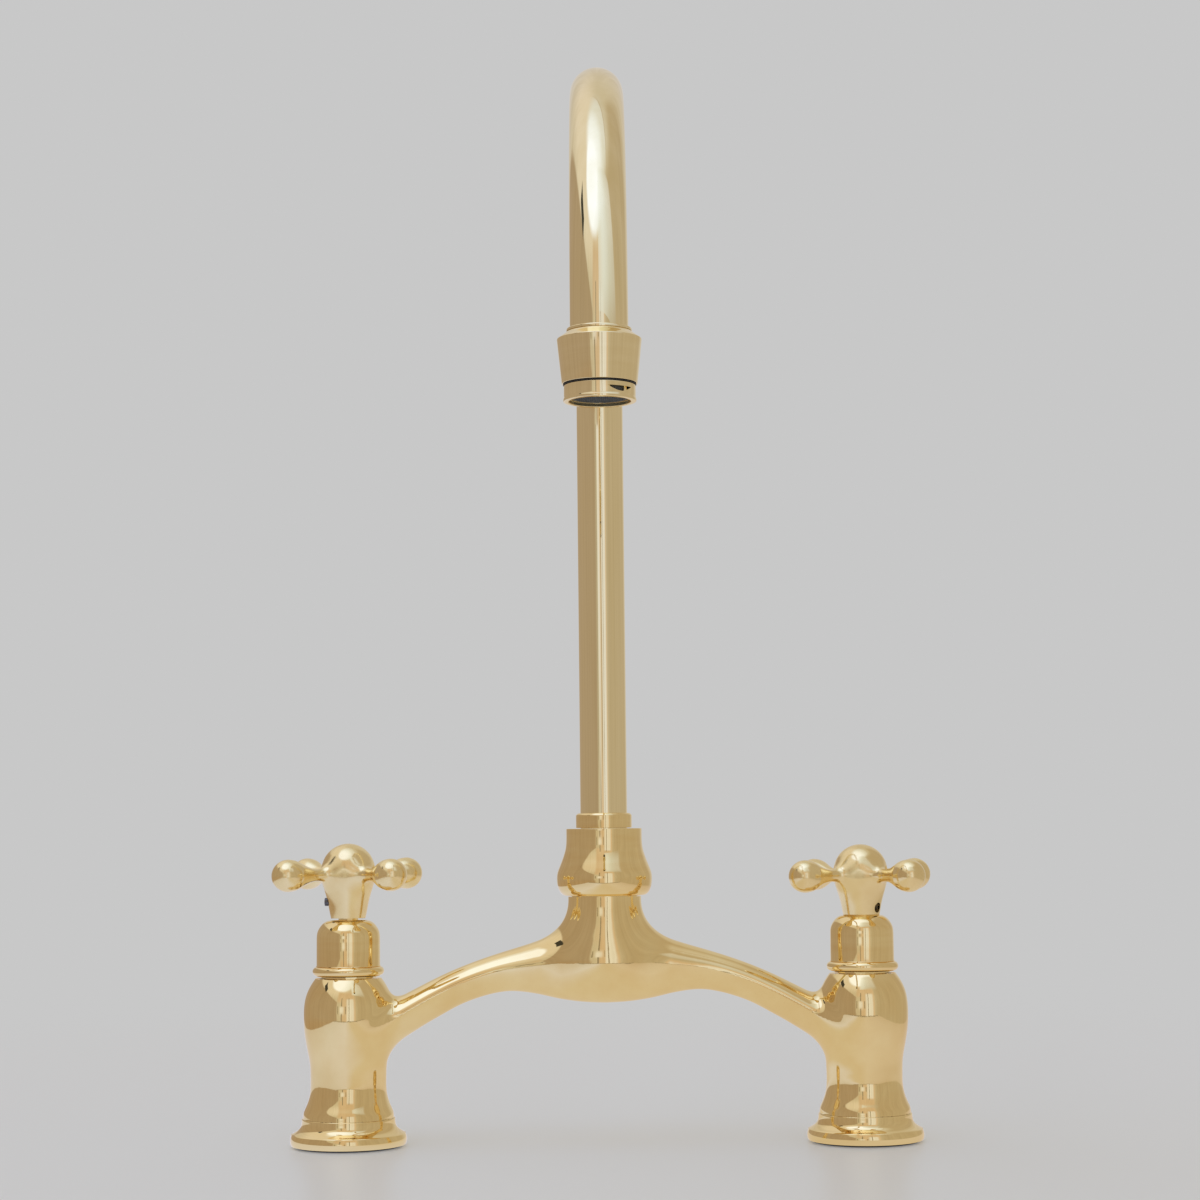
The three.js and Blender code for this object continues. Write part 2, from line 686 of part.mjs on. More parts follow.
const spigotFoot = spigotBoreFloor + spigotFootLift;
const spigotSealHeights = [spigotLowerSeal, spigotLowerSeal + spigotSealPitch].map((h) => spigotFoot + h);

function makeSpigot() {
  const groove = spigotRadius - 2 * spigotSealSection - seatGap;
  const grooveHalf = spigotSealSection + seatGap;
  const grooves = spigotSealHeights.flatMap((z) => [[spigotRadius, z - grooveHalf], [groove, z - grooveHalf],
    [groove, z + grooveHalf], [spigotRadius, z + grooveHalf]]);
  const stub = tubeRadius - tubeWall - seatGap;
  const stubTop = spigotFlangeTop + spigotStubHeight;
  return turnedRing([[spigotWayRadius, spigotFoot], [spigotRadius, spigotFoot], ...grooves,
    [spigotRadius, spigotFlangeBottom], [spigotFlangeRadius, spigotFlangeBottom],
    [spigotFlangeRadius, spigotFlangeTop], [stub, spigotFlangeTop], [stub, stubTop],
    [spigotWayRadius, stubTop]], plainSides);
}

function makeSpigotSeal(height) {
  const middle = spigotRadius - spigotSealSection;
  return new THREE.TorusGeometry(middle, spigotSealSection, 6, plainSides).translate(0, 0, height);
}

function makeFerrule() {
  const top = ferruleBottom + ferruleHeight;
  return turnedRing([[tubeSocket, ferruleBottom], [ferruleRadius, ferruleBottom],
    [ferruleRadius, top - ferruleChamfer], [ferruleRadius - ferruleChamfer, top], [tubeSocket, top]]);
}

// Rings round the gooseneck's centre line: up the column, over the arc and down the leg.
function makeSpoutTube() {
  const arcSteps = 26;
  const sides = plainSides;
  const stations = [[0, tubeBottom, 0]];
  for (let i = 0; i <= arcSteps; i++) {
    const angle = (Math.PI * i) / arcSteps;
    stations.push([arcRadius * (Math.cos(angle) - 1), arcCentreHeight + arcRadius * Math.sin(angle), angle]);
  }
  stations.push([-spoutReach, tubeEnd, Math.PI]);
  const ringAt = ([y, z, angle], radius) => Array.from({ length: sides }, (_, j) => {
    const turn = (2 * Math.PI * j) / sides;
    const out = radius * Math.sin(turn);
    return new THREE.Vector3(radius * Math.cos(turn), y + out * Math.cos(angle), z + out * Math.sin(angle));
  });
  const outside = stations.map((s) => ringAt(s, tubeRadius));
  const inside = stations.map((s) => ringAt(s, tubeRadius - tubeWall)).reverse();
  return loft([...outside, ...inside], true);
}

// ---- outlet, about its own axis ----

function makeOutletCollar() {
  const swellRadius = THREE.MathUtils.lerp(outletCollarTopRadius, outletCollarRadius, 0.6);
  return turnedRing([
    [outletThreadRadius, outletCollarBottom],
    [outletCollarFootRadius, outletCollarBottom],
    [outletCollarRadius, outletCollarTop - outletCollarSlope],
    [swellRadius, outletCollarTop - outletCollarSwell],
    [outletCollarTopRadius, outletCollarTop],
    [tubeSocket, outletCollarTop],
    [tubeSocket, outletLipTop],
    [tubeSocket - outletLipWidth, outletLipTop],
    [tubeSocket - outletLipWidth, outletLipBottom],
    [outletThreadRadius, outletLipBottom],
  ]);
}

function makeAeratorHousing() {
  const lip = aeratorBore - aeratorLipWidth;
  const body = turnedRing([
    [aeratorMouthRadius, aeratorBottom],
    [aeratorRadius, aeratorBottom],
    [aeratorRadius, aeratorShoulder],
    [aeratorSpigotRadius, aeratorShoulder],
    [aeratorSpigotRadius, aeratorShoulder + aeratorSpigotHeight],
    [aeratorBore, aeratorShoulder + aeratorSpigotHeight],
    [aeratorBore, aeratorLipTop],
    [lip, aeratorLipTop],
    [lip, aeratorBottom + aeratorMouthDepth],
  ]);
  const notch = new THREE.BoxGeometry(2 * aeratorNotchDepth, aeratorNotchWidth, aeratorNotchHeight);
  notch.translate(aeratorRadius, 0, aeratorShoulder - 1.5 * aeratorNotchHeight);
  notch.rotateZ(degrees(aeratorNotchTurn));
  return carved([body], [notch]);
}

function makeAeratorInsert() {
  const nose = aeratorBore - aeratorLipWidth - seatGap;
  const top = insertBottom + insertHeight;
  const body = turned([[0, insertBottom - insertNose], [nose, insertBottom - insertNose], [nose, insertBottom],
    [insertRadius, insertBottom], [insertRadius, top], [0, top]]);
  const holes = Array.from({ length: insertHoleCount }, (_, i) => {
    const turn = (2 * Math.PI * i) / insertHoleCount;
    const hole = rod(insertHoleRadius, insertBottom - insertNose - boreOverrun, top + boreOverrun, 6);
    return hole.translate(insertHoleCircle * Math.cos(turn), insertHoleCircle * Math.sin(turn), 0);
  });
  return carved([body], holes);
}

function makeInletScreen() {
  const rimTop = screenBottom + screenRim;
  const crownHeight = screenHeight - screenRim;
  const crown = roundCorner(0, rimTop, insertRadius - screenRim, crownHeight, 0, 90, 4).slice(0, -1);
  return turned([[0, screenBottom], [insertRadius, screenBottom], [insertRadius, rimTop],
    ...crown, [0, screenBottom + screenHeight]], plainSides);
}

function addSpout(group) {
  piece(group, "spout_nut", makeSpoutNut(), polishedBrass());
  piece(group, "spout_thrust_washer",
    washer(spigotBore, spigotFlangeRadius, thrustWasherBottom, thrustWasherBottom + thrustWasherThickness,
      plainSides), nylon());
  piece(group, "spout_spigot", makeSpigot(), turnedBrass());
  piece(group, "spigot_lower_seal", makeSpigotSeal(spigotSealHeights[0]), rubber());
  piece(group, "spigot_upper_seal", makeSpigotSeal(spigotSealHeights[1]), rubber());
  piece(group, "spout_slip_ring", washer(tubeSocket, spigotFlangeRadius, tubeBottom,
    tubeBottom + slipRingThickness, plainSides), nylon());
  piece(group, "spout_tube", makeSpoutTube(), polishedBrass());
  piece(group, "spout_ferrule", makeFerrule(), polishedBrass());

  const outlet = new THREE.Group();
  outlet.position.y = -spoutReach;
  group.add(outlet);
  piece(outlet, "outlet_collar", makeOutletCollar(), polishedBrass());
  piece(outlet, "outlet_washer", washer(outletThreadRadius, outletWasherRadius, outletWasherBottom,
    outletWasherBottom + outletWasherThickness), rubber());
  piece(outlet, "aerator_housing", makeAeratorHousing(), polishedBrass());
  piece(outlet, "aerator_insert", makeAeratorInsert(), darkPlastic());
  piece(outlet, "aerator_inlet_screen", makeInletScreen(), darkPlastic());
}

// ---- the faucet ----
const faucet = new THREE.Group();
const works = new THREE.Group();
works.position.y = columnPlace;
faucet.add(works);

piece(works, "bridge_body", makeBridgeBody(), polishedBrass());

const leftValve = new THREE.Group();
leftValve.position.x = -halfCentres;
works.add(leftValve);
addValve(leftValve, "left", leftHandle);

const rightValve = new THREE.Group();
rightValve.position.x = halfCentres;
works.add(rightValve);
addValve(rightValve, "right", rightHandle);

addSpout(works);

export default faucet;
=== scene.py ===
import json
import math

import bpy
import numpy as np
from mathutils import Matrix, Vector

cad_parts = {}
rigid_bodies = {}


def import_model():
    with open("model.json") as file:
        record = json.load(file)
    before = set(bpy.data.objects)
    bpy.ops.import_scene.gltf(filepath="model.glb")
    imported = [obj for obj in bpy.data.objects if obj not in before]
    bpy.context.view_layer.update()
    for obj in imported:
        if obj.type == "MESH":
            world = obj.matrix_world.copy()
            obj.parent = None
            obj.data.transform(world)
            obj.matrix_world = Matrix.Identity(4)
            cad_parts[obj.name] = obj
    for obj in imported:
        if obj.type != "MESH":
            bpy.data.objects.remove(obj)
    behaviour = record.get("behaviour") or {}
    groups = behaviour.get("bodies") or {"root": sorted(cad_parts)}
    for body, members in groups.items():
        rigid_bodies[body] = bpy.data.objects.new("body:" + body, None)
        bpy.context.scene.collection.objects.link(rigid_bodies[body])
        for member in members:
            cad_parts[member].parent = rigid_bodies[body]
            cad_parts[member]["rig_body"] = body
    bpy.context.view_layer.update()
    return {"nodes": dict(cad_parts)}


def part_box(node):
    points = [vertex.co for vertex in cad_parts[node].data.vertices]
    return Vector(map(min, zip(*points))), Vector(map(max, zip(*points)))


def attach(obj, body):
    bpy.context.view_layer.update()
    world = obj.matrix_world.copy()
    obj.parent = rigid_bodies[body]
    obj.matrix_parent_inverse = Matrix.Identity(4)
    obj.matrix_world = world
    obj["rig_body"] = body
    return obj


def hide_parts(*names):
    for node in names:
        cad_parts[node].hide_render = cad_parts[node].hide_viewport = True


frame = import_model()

# The polished brass dress of a bridge kitchen faucet. The pieces' dictionaries are in millimetres, with
# heights above the deck unless a note says otherwise, and radii from the piece's own axis. The camera's and
# the studio's are in metres.
mm = 0.001


def axisOf(node):
    low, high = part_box(node)
    return Vector(((low.x + high.x) / 2, (low.y + high.y) / 2, 0))


def heightsOf(node):
    low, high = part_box(node)
    return low.z / mm, high.z / mm


columnAxis = axisOf("spout_nut")
outletAxis = axisOf("outlet_collar")
valveAxes = {"left": axisOf("left_base_flange"), "right": axisOf("right_base_flange")}


def leaveEdit():
    bpy.ops.object.mode_set(mode="OBJECT")


def startPiece():
    # nothing stays selected, so that the next operators act on the new piece alone
    if bpy.context.object and bpy.context.object.mode != "OBJECT":
        leaveEdit()
    bpy.ops.object.select_all(action="DESELECT")


def chosen(*pieces):
    startPiece()
    for piece in pieces:
        piece.select_set(True)
    bpy.context.view_layer.objects.active = pieces[0]
    return pieces[0]


def editAll(piece):
    chosen(piece)
    bpy.ops.object.mode_set(mode="EDIT")
    bpy.ops.mesh.select_all(action="SELECT")


def named(piece, name):
    piece.name = piece.data.name = name
    return piece


def cubicThrough(knots, values, at):
    # natural cubic spline, so that reflections run over the points of an outline without a kink
    knots, values, at = (np.asarray(a, float) for a in (knots, values, at))
    count = len(knots)
    gaps = np.diff(knots)
    rises = np.diff(values) / gaps
    system = np.eye(count)
    wanted = np.zeros(count)
    for i in range(1, count - 1):
        system[i, i - 1:i + 2] = gaps[i - 1], 2 * (gaps[i - 1] + gaps[i]), gaps[i]
        wanted[i] = 6 * (rises[i] - rises[i - 1])
    bends = np.linalg.solve(system, wanted)
    span = np.clip(np.searchsorted(knots, at) - 1, 0, count - 2)
    gap = gaps[span]
    before = (knots[span + 1] - at) / gap
    after = 1 - before
    bend = (before**3 - before) * bends[span] + (after**3 - after) * bends[span + 1]
    return before * values[span] + after * values[span + 1] + bend * gap**2 / 6


def smoothLine(points, count):
    points = np.array(points, float)
    along = np.concatenate([[0], np.cumsum(np.hypot(*np.diff(points, axis=0).T))])
    at = np.linspace(0, along[-1], count)
    return [tuple(p) for p in np.stack([cubicThrough(along, points[:, k], at) for k in (0, 1)], 1)]


def rounded(corners, steps=5):
    # a closed outline of (radius, height, rounding): a corner with a rounding becomes a short curve
    outline = []
    for i, (r, z, rounding) in enumerate(corners):
        here = Vector((r, z))
        if not rounding:
            outline.append((r, z))
            continue
        before = Vector(corners[i - 1][:2]) - here
        after = Vector(corners[(i + 1) % len(corners)][:2]) - here
        start = here + before.normalized() * min(rounding, before.length / 2)
        end = here + after.normalized() * min(rounding, after.length / 2)
        for k in range(steps + 1):
            t = k / steps
            outline.append(tuple(start * (1 - t)**2 + here * 2 * t * (1 - t) + end * t**2))
    return outline


def raised(points, foot):
    # points given above a piece's own foot
    return [(r, foot + z, *rest) for r, z, *rest in points]


def rotation(degrees, axis="Z"):
    return Matrix.Rotation(math.radians(degrees), 4, axis)


def arc(r, z, radius, start, end, steps):
    angles = np.radians(np.linspace(start, end, steps + 1))
    return [(r + radius * math.cos(a), z + radius * math.sin(a)) for a in angles]


def closeSeams(piece, threshold=2e-6):
    editAll(piece)
    bpy.ops.mesh.remove_doubles(threshold=threshold)
    bpy.ops.mesh.dissolve_degenerate(threshold=threshold)
    bpy.ops.mesh.select_all(action="SELECT")
    bpy.ops.mesh.delete_loose(use_verts=True, use_edges=True, use_faces=False)
    bpy.ops.mesh.select_all(action="SELECT")
    bpy.ops.mesh.normals_make_consistent(inside=False)
    leaveEdit()


def turned(name, outline, axis, steps):
    # a closed outline of (radius, height), spun about an upright axis
    startPiece()
    bpy.ops.mesh.primitive_circle_add(vertices=len(outline), radius=mm, location=(0, 0, 0))
    piece = named(bpy.context.object, name)
    for vertex, (r, z) in zip(piece.data.vertices, outline):
        vertex.co = (axis.x + max(r, 0) * mm, axis.y, z * mm)
    editAll(piece)
    bpy.ops.mesh.spin(steps=steps, angle=2 * math.pi, center=axis, axis=(0, 0, 1), use_auto_merge=True)
    leaveEdit()
    closeSeams(piece)
    return piece


def applied(piece, kind, **values):
    chosen(piece)
    modifier = piece.modifiers.new(kind.title(), kind)
    for key, value in values.items():
        setattr(modifier, key, value)
    bpy.ops.object.modifier_apply(modifier=modifier.name)


def joined(name, *pieces):
    piece = chosen(*pieces)
    bpy.ops.object.join()
    return named(piece, name)


def copied(piece, name, place=Matrix()):
    double = bpy.data.objects.new(name, piece.data.copy())
    double.data.name = name
    double.data.transform(place)
    bpy.context.scene.collection.objects.link(double)
    return double


def cutAway(piece, cutter):
    applied(piece, "BOOLEAN", operation="DIFFERENCE", object=cutter, solver="EXACT")
    bpy.data.objects.remove(cutter)


def rod(radius, low, high, axis, sides):
    startPiece()
    bpy.ops.mesh.primitive_cylinder_add(vertices=sides, radius=radius * mm, depth=(high - low) * mm,
                                        location=(axis.x, axis.y, (high + low) / 2 * mm))
    bpy.ops.object.transform_apply()
    return bpy.context.object


def read(piece, values="vertices", what="co"):
    found = np.empty(len(getattr(piece.data, values)) * 3)
    getattr(piece.data, values).foreach_get(what, found)
    return found.reshape(-1, 3)


def slopeOf(field, places, step=0.02):
    return np.stack([(field(places + way) - field(places - way)) / (2 * step) for way in np.eye(3) * step], 1)


def drawOnto(piece, field, origin, passes=2, evening=4, moves=6, longest=1.5, flattest=0.2):
    # evens out the remeshed skin, then moves every vertex onto the surface where the field is zero
    for _ in range(passes):
        editAll(piece)
        bpy.ops.mesh.vertices_smooth(factor=0.5, repeat=evening)
        leaveEdit()
        places = (read(piece) - np.array(origin)) / mm
        for _ in range(moves):
            slope = slopeOf(field, places)
            reach = np.clip(field(places), -longest, longest) / np.maximum((slope**2).sum(1), flattest)
            places -= slope * reach[:, None]
        piece.data.vertices.foreach_set("co", (places * mm + np.array(origin)).ravel())
        piece.data.update()


def trueNormals(piece, field, origin, near=0.03, agreement=0.75):
    # the field's own normals on its surface, so that a mirror finish shows none of the mesh's facets
    places = (read(piece) - np.array(origin)) / mm
    slope = slopeOf(field, places)
    slope /= np.maximum(np.linalg.norm(slope, axis=1), 1e-9)[:, None]
    onSkin = np.abs(field(places)) < near
    faceNormals = read(piece, "polygons", "normal")
    cornerNormals = np.empty((len(piece.data.loops), 3))
    for face in piece.data.polygons:
        corners = list(face.vertices)
        flat = faceNormals[face.index]
        smooth = onSkin[corners].all() and (slope[corners] @ flat).min() > agreement
        cornerNormals[list(face.loop_indices)] = slope[corners] if smooth else flat
    piece.data.normals_split_custom_set(cornerNormals.tolist())


def blended(a, b, width):
    # the smaller of two distances, with a fillet where the two surfaces meet
    near = np.clip(width - np.abs(a - b), 0, None)
    return np.minimum(a, b) - near**2 / (4 * width)


def revolved(radius, height, knots, radii, step=0.05):
    # distance from a turned profile, given by its radius at some heights
    at = np.clip(height, knots[0], knots[-1])
    reach = cubicThrough(knots, radii, at)
    lean = (cubicThrough(knots, radii, np.clip(at + step, knots[0], knots[-1])) - reach) / step
    return (radius - reach) / np.sqrt(1 + lean**2)


def editSelect(piece, choose):
    # opens a piece with the faces selected whose middle and normal suit
    editAll(piece)
    bpy.ops.mesh.select_mode(type="FACE")
    bpy.ops.mesh.select_all(action="DESELECT")
    leaveEdit()
    for face in piece.data.polygons:
        face.select = bool(choose(face.center / mm, face.normal))
    bpy.ops.object.mode_set(mode="EDIT")


def slicedAt(piece, height, keepAbove, choose):
    editSelect(piece, choose)
    bpy.ops.mesh.bisect(plane_co=(0, 0, height * mm), plane_no=(0, 0, 1), use_fill=True,
                        clear_outer=not keepAbove, clear_inner=keepAbove)
    leaveEdit()


def extruded(x, y, z):
    bpy.ops.mesh.extrude_region_move(TRANSFORM_OT_translate={"value": (x, y, z)})


def offAxis(centre, axis):
    return math.hypot(centre.x - axis.x / mm, centre.y - axis.y / mm)


def bored(piece, height, axis, facing, start, steps, nearby=14):
    # takes the flat face round an axis, and for each (radius, push) narrows it to the radius and pushes it
    editSelect(piece, lambda centre, normal: abs(centre.z - height) < 0.05 and normal.z * facing > 0.9
               and offAxis(centre, axis) < nearby)
    radius, level = start, height
    for narrowed, push in steps:
        if narrowed < radius:
            extruded(0, 0, 0)
            share = narrowed / radius
            bpy.ops.transform.resize(value=(share, share, 1), center_override=(axis.x, axis.y, level * mm))
            radius = narrowed
        extruded(0, 0, push * mm)
        level += push
    leaveEdit()


def finished(piece, node, slot, material=None, angle=32):
    chosen(piece)
    bpy.ops.object.shade_smooth_by_angle(angle=math.radians(angle))
    piece.data.materials.clear()
    piece.data.materials.append(material or materials[slot])
    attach(piece, frame["nodes"][node]["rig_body"])
    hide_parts(node)


# The camera stands a metre off and a little higher than the bridge, and looks up at the spout.
view = {"place": (-0.0006, -0.9975, 0.1229), "pitch": 5.24, "roll": -0.6, "lens": 75, "sensor": 36,
        "clipStart": 0.01}

cameraData = bpy.data.cameras.new("photoView")
cameraData.lens = view["lens"]
cameraData.sensor_width = view["sensor"]
cameraData.clip_start = view["clipStart"]
camera = bpy.data.objects.new("photoView", cameraData)
camera.location = Vector(view["place"]) + Vector((0, columnAxis.y, 0))
camera.rotation_euler = (rotation(90 + view["pitch"], "X") @ rotation(view["roll"])).to_euler()
bpy.context.scene.collection.objects.link(camera)
bpy.context.scene.camera = camera
bpy.context.scene.view_settings.view_transform = "Standard"
print("camera placed")


def addNode(tree, kind, values=None, **settings):
    made = tree.nodes.new(kind)
    for key, value in settings.items():
        setattr(made, key, value)
    for key, value in (values or {}).items():
        if isinstance(value, bpy.types.NodeSocket):
            tree.links.new(value, made.inputs[key])
        else:
            made.inputs[key].default_value = value
    return made


def mathNode(tree, operation, *values):
    return addNode(tree, "ShaderNodeMath", dict(enumerate(values)), operation=operation).outputs[0]


def rescaled(tree, value, start, end, low=0.0, high=1.0, curve="LINEAR"):
    return addNode(tree, "ShaderNodeMapRange", {"Value": value, "From Min": start, "From Max": end,
                                                "To Min": low, "To Max": high},
                   interpolation_type=curve).outputs[0]


def noise(tree, place, scale, detail, roughness=0.5):
    return addNode(tree, "ShaderNodeTexNoise", {"Vector": place, "Scale": scale, "Detail": detail,
                                                "Roughness": roughness}).outputs["Fac"]


def ramp(tree, factor, stops):
    made = addNode(tree, "ShaderNodeValToRGB", {"Fac": factor})
    elements = made.color_ramp.elements
    while len(elements) < len(stops):
        elements.new(0.5)
    # all the places first, because moving a stop can change the stops' order
    for element, (place, _) in zip(elements, stops):
        element.position = place
    for element, (_, colour) in zip(elements, stops):
        element.color = (*colour, 1)
    return made.outputs["Color"]


def mixed(tree, factor, a, b, blend="MIX"):
    # inputs 6 and 7 and output 2 are the node's colours
    a, b = (value if isinstance(value, bpy.types.NodeSocket) else (*value, 1) for value in (a, b))
    return addNode(tree, "ShaderNodeMix", {0: factor, 6: a, 7: b}, data_type="RGBA",
                   blend_type=blend).outputs[2]


def mixedShader(tree, factor, a, b):
    return addNode(tree, "ShaderNodeMixShader", {0: factor, 1: a, 2: b}).outputs[0]


# What the brass mirrors, all as colours of light: a dim room to the left, a lighter one to the right, a
# bright window high up, a pale curtain in front to the right, and the table that the faucet stands on.
studio = {
    "backdrop": (0.578, 0.578, 0.578),  # that the camera sees
    "wall": (0.64, 0.61, 0.58),
    "ceiling": (0.80, 0.77, 0.80),
    "leftRoom": (0.445, 0.368, 0.31),
    "rightRoom": (0.525, 0.463, 0.39),
    "frontRoom": (0.70, 0.58, 0.50),
    "doorway": (0.85, 0.89, 1.08),
    "frame": (0.34, 0.30, 0.26),  # thin dark uprights
    "slot": (0.06, 0.06, 0.06),
    "underTable": (0.45, 0.35, 0.27),
    # by the angle from the window's brightest part, as a share of 90 degrees
    "window": [(0.20, (1.12, 1.30, 1.95)), (0.33, (0.98, 1.13, 1.58)), (0.42, (0.82, 0.90, 1.12)),
               (0.505, (0.77, 0.83, 1.00)), (0.515, (0.58, 0.53, 0.50)),
               (0.53, (0.68, 0.68, 0.72)), (0.70, (0.61, 0.59, 0.58))],
    "table": [(-0.39, (0.66, 0.65, 0.74)), (-0.25, (0.69, 0.69, 0.81)), (-0.11, (0.745, 0.76, 0.95)),
              (-0.03, (0.69, 0.64, 0.60)), (0.03, (0.69, 0.63, 0.58)), (0.11, (0.71, 0.66, 0.66)),
              (0.25, (0.67, 0.61, 0.60)), (0.39, (0.62, 0.55, 0.51))],  # by its x in metres
    "tableReach": (0.40, 0.42, 3),  # to its sides, to its front edge and to its back
    "tableEdge": 0.05, "tableSoft": 0.01,
    "wallTones": [(0.3, (0.90, 0.89, 0.87)), (0.7, (1.08, 1.09, 1.11))],
}
# Where it stands, in degrees as the faucet sees it: a band of turn, from 0 towards the camera to the right,
# and a band of rise. A band is (low, high, softness), and a later one covers those before it.
layout = {
    "ceiling": ((-165, 8, 20), (34, 200, 10)),
    "rightRoom": ((27, 146, 9), (-90, 62, 7)),
    "windowMiddle": (-50, 62), "windowSpan": 90, "windowRise": (66, 200, 6),
    "frontRoom": [((-25, 24, 4), (20, 44, 5)), ((-11.5, 24, 2), (-90, 22, 5))],
    "doorway": [((-17, -7, 3.5), (1, 10, 3)), ((1, 20, 3), (-90, 27, 3))],
    "roundPart": (-22, 71), "roundReach": (-90, 25, 3),  # of the window
    "leftTurn": (-162, -25, 2.5), "leftUnder": (-3, 0, 0.03), "leftSlope": 0.82,  # it ends in a sloping line
    "slotTurn": (-91, -71, 1), "slotRise": (14.5, 21.5, 0.5), "slotTilt": 0.3,  # a dark bar
    "underTable": ((-400, -22, 3), (-90, -5, 3)),
    # its uprights: middle, half width, foot and head
    "frame": [(-12.5, 1.3, -30, 1), (-12.5, 1.3, 11, 30), (-22, 1.0, 1, 11), (-2, 1.0, 1, 11),
              (7.5, 0.8, -30, 30)],
    "frameSoft": 0.5,
    "tonesRise": (-90, 42, 14), "tonesAcross": 0.16, "tonesUp": 0.012, "tonesDetail": 5.0,
    "tonesRoughness": 0.7,
}
# The curtain hangs close to the spout, so that the handles and the bridge mirror little of it.
curtain = {"edges": (0.0, 0.42, 0.33, 0.92), "ahead": 0.35,  # left, right, bottom and top
           "across": [(0.0, (1.00, 1.17, 1.62)), (0.17, (0.90, 1.03, 1.38)), (0.33, (0.79, 0.87, 1.08)),
                      (0.6, (0.72, 0.75, 0.88)), (1.0, (0.69, 0.71, 0.80))],
           "upwards": [(0.0, (0.84, 0.82, 0.76)), (0.25, (0.93, 0.93, 0.92)), (0.5, (1.0, 1.0, 1.0))],
           # it thins out to its right, its top and its lower right corner
           "thickAcross": (0.006, 0.84, 0.14), "thickUp": (-0.06, 0.85, 0.12), "slant": -0.2}
# The pale floor that the camera sees, which runs into the backdrop far off.
floorLook = {"size": 12, "height": -0.0002, "colour": (0.795, 0.80, 0.727, 1), "roughness": 0.3,
             "specular": 0.12, "fade": (0.3, 1.1), "leastFade": 0.3}


def band(tree, value, low, high, soft):
    # 1 between low and high, with soft edges
    rising = rescaled(tree, value, low - soft, low + soft, curve="SMOOTHSTEP")
    falling = rescaled(tree, value, high - soft, high + soft, 1.0, 0.0, curve="SMOOTHSTEP")
    return mathNode(tree, "MULTIPLY", rising, falling)


def patch(tree, across, up, acrossBand, upBand):
    # 1 where both values lie in their bands
    return mathNode(tree, "MULTIPLY", band(tree, across, *acrossBand), band(tree, up, *upBand))


def placeOn(piece):
    # an empty material on a piece of the studio, and the sockets of the place on it
    material = bpy.data.materials.new(piece.name)
    material.use_nodes = True
    tree = material.node_tree
    tree.nodes.clear()
    piece.data.materials.append(material)
    place = addNode(tree, "ShaderNodeTexCoord").outputs["Object"]
    return tree, addNode(tree, "ShaderNodeSeparateXYZ", {0: place}).outputs


def makeWorld():
    world = bpy.data.worlds.new("softStudio")
    bpy.context.scene.world = world
    world.use_nodes = True
    tree = world.node_tree
    tree.nodes.clear()
    direction = addNode(tree, "ShaderNodeTexCoord").outputs["Generated"]
    x, y, z = addNode(tree, "ShaderNodeSeparateXYZ", {0: direction}).outputs
    turn = mathNode(tree, "DEGREES", mathNode(tree, "ARCTAN2", x, mathNode(tree, "MULTIPLY", y, -1.0)))
    rise = mathNode(tree, "DEGREES", mathNode(tree, "ARCSINE", z))

    def angleFrom(azimuth, elevation):
        a, e = math.radians(azimuth), math.radians(elevation)
        way = (math.sin(a) * math.cos(e), -math.cos(a) * math.cos(e), math.sin(e))
        share = addNode(tree, "ShaderNodeVectorMath", {0: direction, 1: way}, operation="DOT_PRODUCT")
        return mathNode(tree, "DEGREES", mathNode(tree, "ARCCOSINE", share.outputs["Value"]))

    def shown(light, colour, *bands):
        return mixed(tree, patch(tree, turn, rise, *bands), light, studio[colour])

    share = mathNode(tree, "DIVIDE", angleFrom(*layout["windowMiddle"]), layout["windowSpan"])
    glow = ramp(tree, share, studio["window"])
    light = shown(studio["wall"], "ceiling", *layout["ceiling"])
    light = shown(light, "rightRoom", *layout["rightRoom"])
    light = mixed(tree, band(tree, rise, *layout["windowRise"]), light, glow)
    for part in ("frontRoom", "doorway"):
        for place in layout[part]:
            light = shown(light, part, *place)
    roundPart = band(tree, angleFrom(*layout["roundPart"]), *layout["roundReach"])
    light = mixed(tree, roundPart, light, glow)
    sloping = mathNode(tree, "MULTIPLY_ADD", x, layout["leftSlope"], z)
    left = patch(tree, sloping, turn, layout["leftUnder"], layout["leftTurn"])
    light = mixed(tree, left, light, studio["leftRoom"])
    tilted = mathNode(tree, "MULTIPLY_ADD", turn, layout["slotTilt"], rise)
    slot = patch(tree, turn, tilted, layout["slotTurn"], layout["slotRise"])
    light = mixed(tree, slot, light, studio["slot"])
    light = shown(light, "underTable", *layout["underTable"])
    soft = layout["frameSoft"]
    for at, half, low, high in layout["frame"]:
        light = shown(light, "frame", (at - half, at + half, soft), (low, high, soft))
    # uneven walls: long upright changes of tone, with finer ones in them
    spot = addNode(tree, "ShaderNodeCombineXYZ", {
        0: mathNode(tree, "MULTIPLY", turn, layout["tonesAcross"]),
        1: mathNode(tree, "MULTIPLY", rise, layout["tonesUp"])}).outputs[0]
    tones = ramp(tree, noise(tree, spot, 1.0, layout["tonesDetail"], layout["tonesRoughness"]),
                 studio["wallTones"])
    uneven = mixed(tree, 1.0, light, tones, "MULTIPLY")
    light = mixed(tree, band(tree, rise, *layout["tonesRise"]), light, uneven)
    cameraRay = addNode(tree, "ShaderNodeLightPath").outputs["Is Camera Ray"]
    seen = mixed(tree, cameraRay, light, studio["backdrop"])
    shade = addNode(tree, "ShaderNodeBackground", {"Color": seen, "Strength": 1.0}).outputs[0]
    addNode(tree, "ShaderNodeOutputWorld", {"Surface": shade})


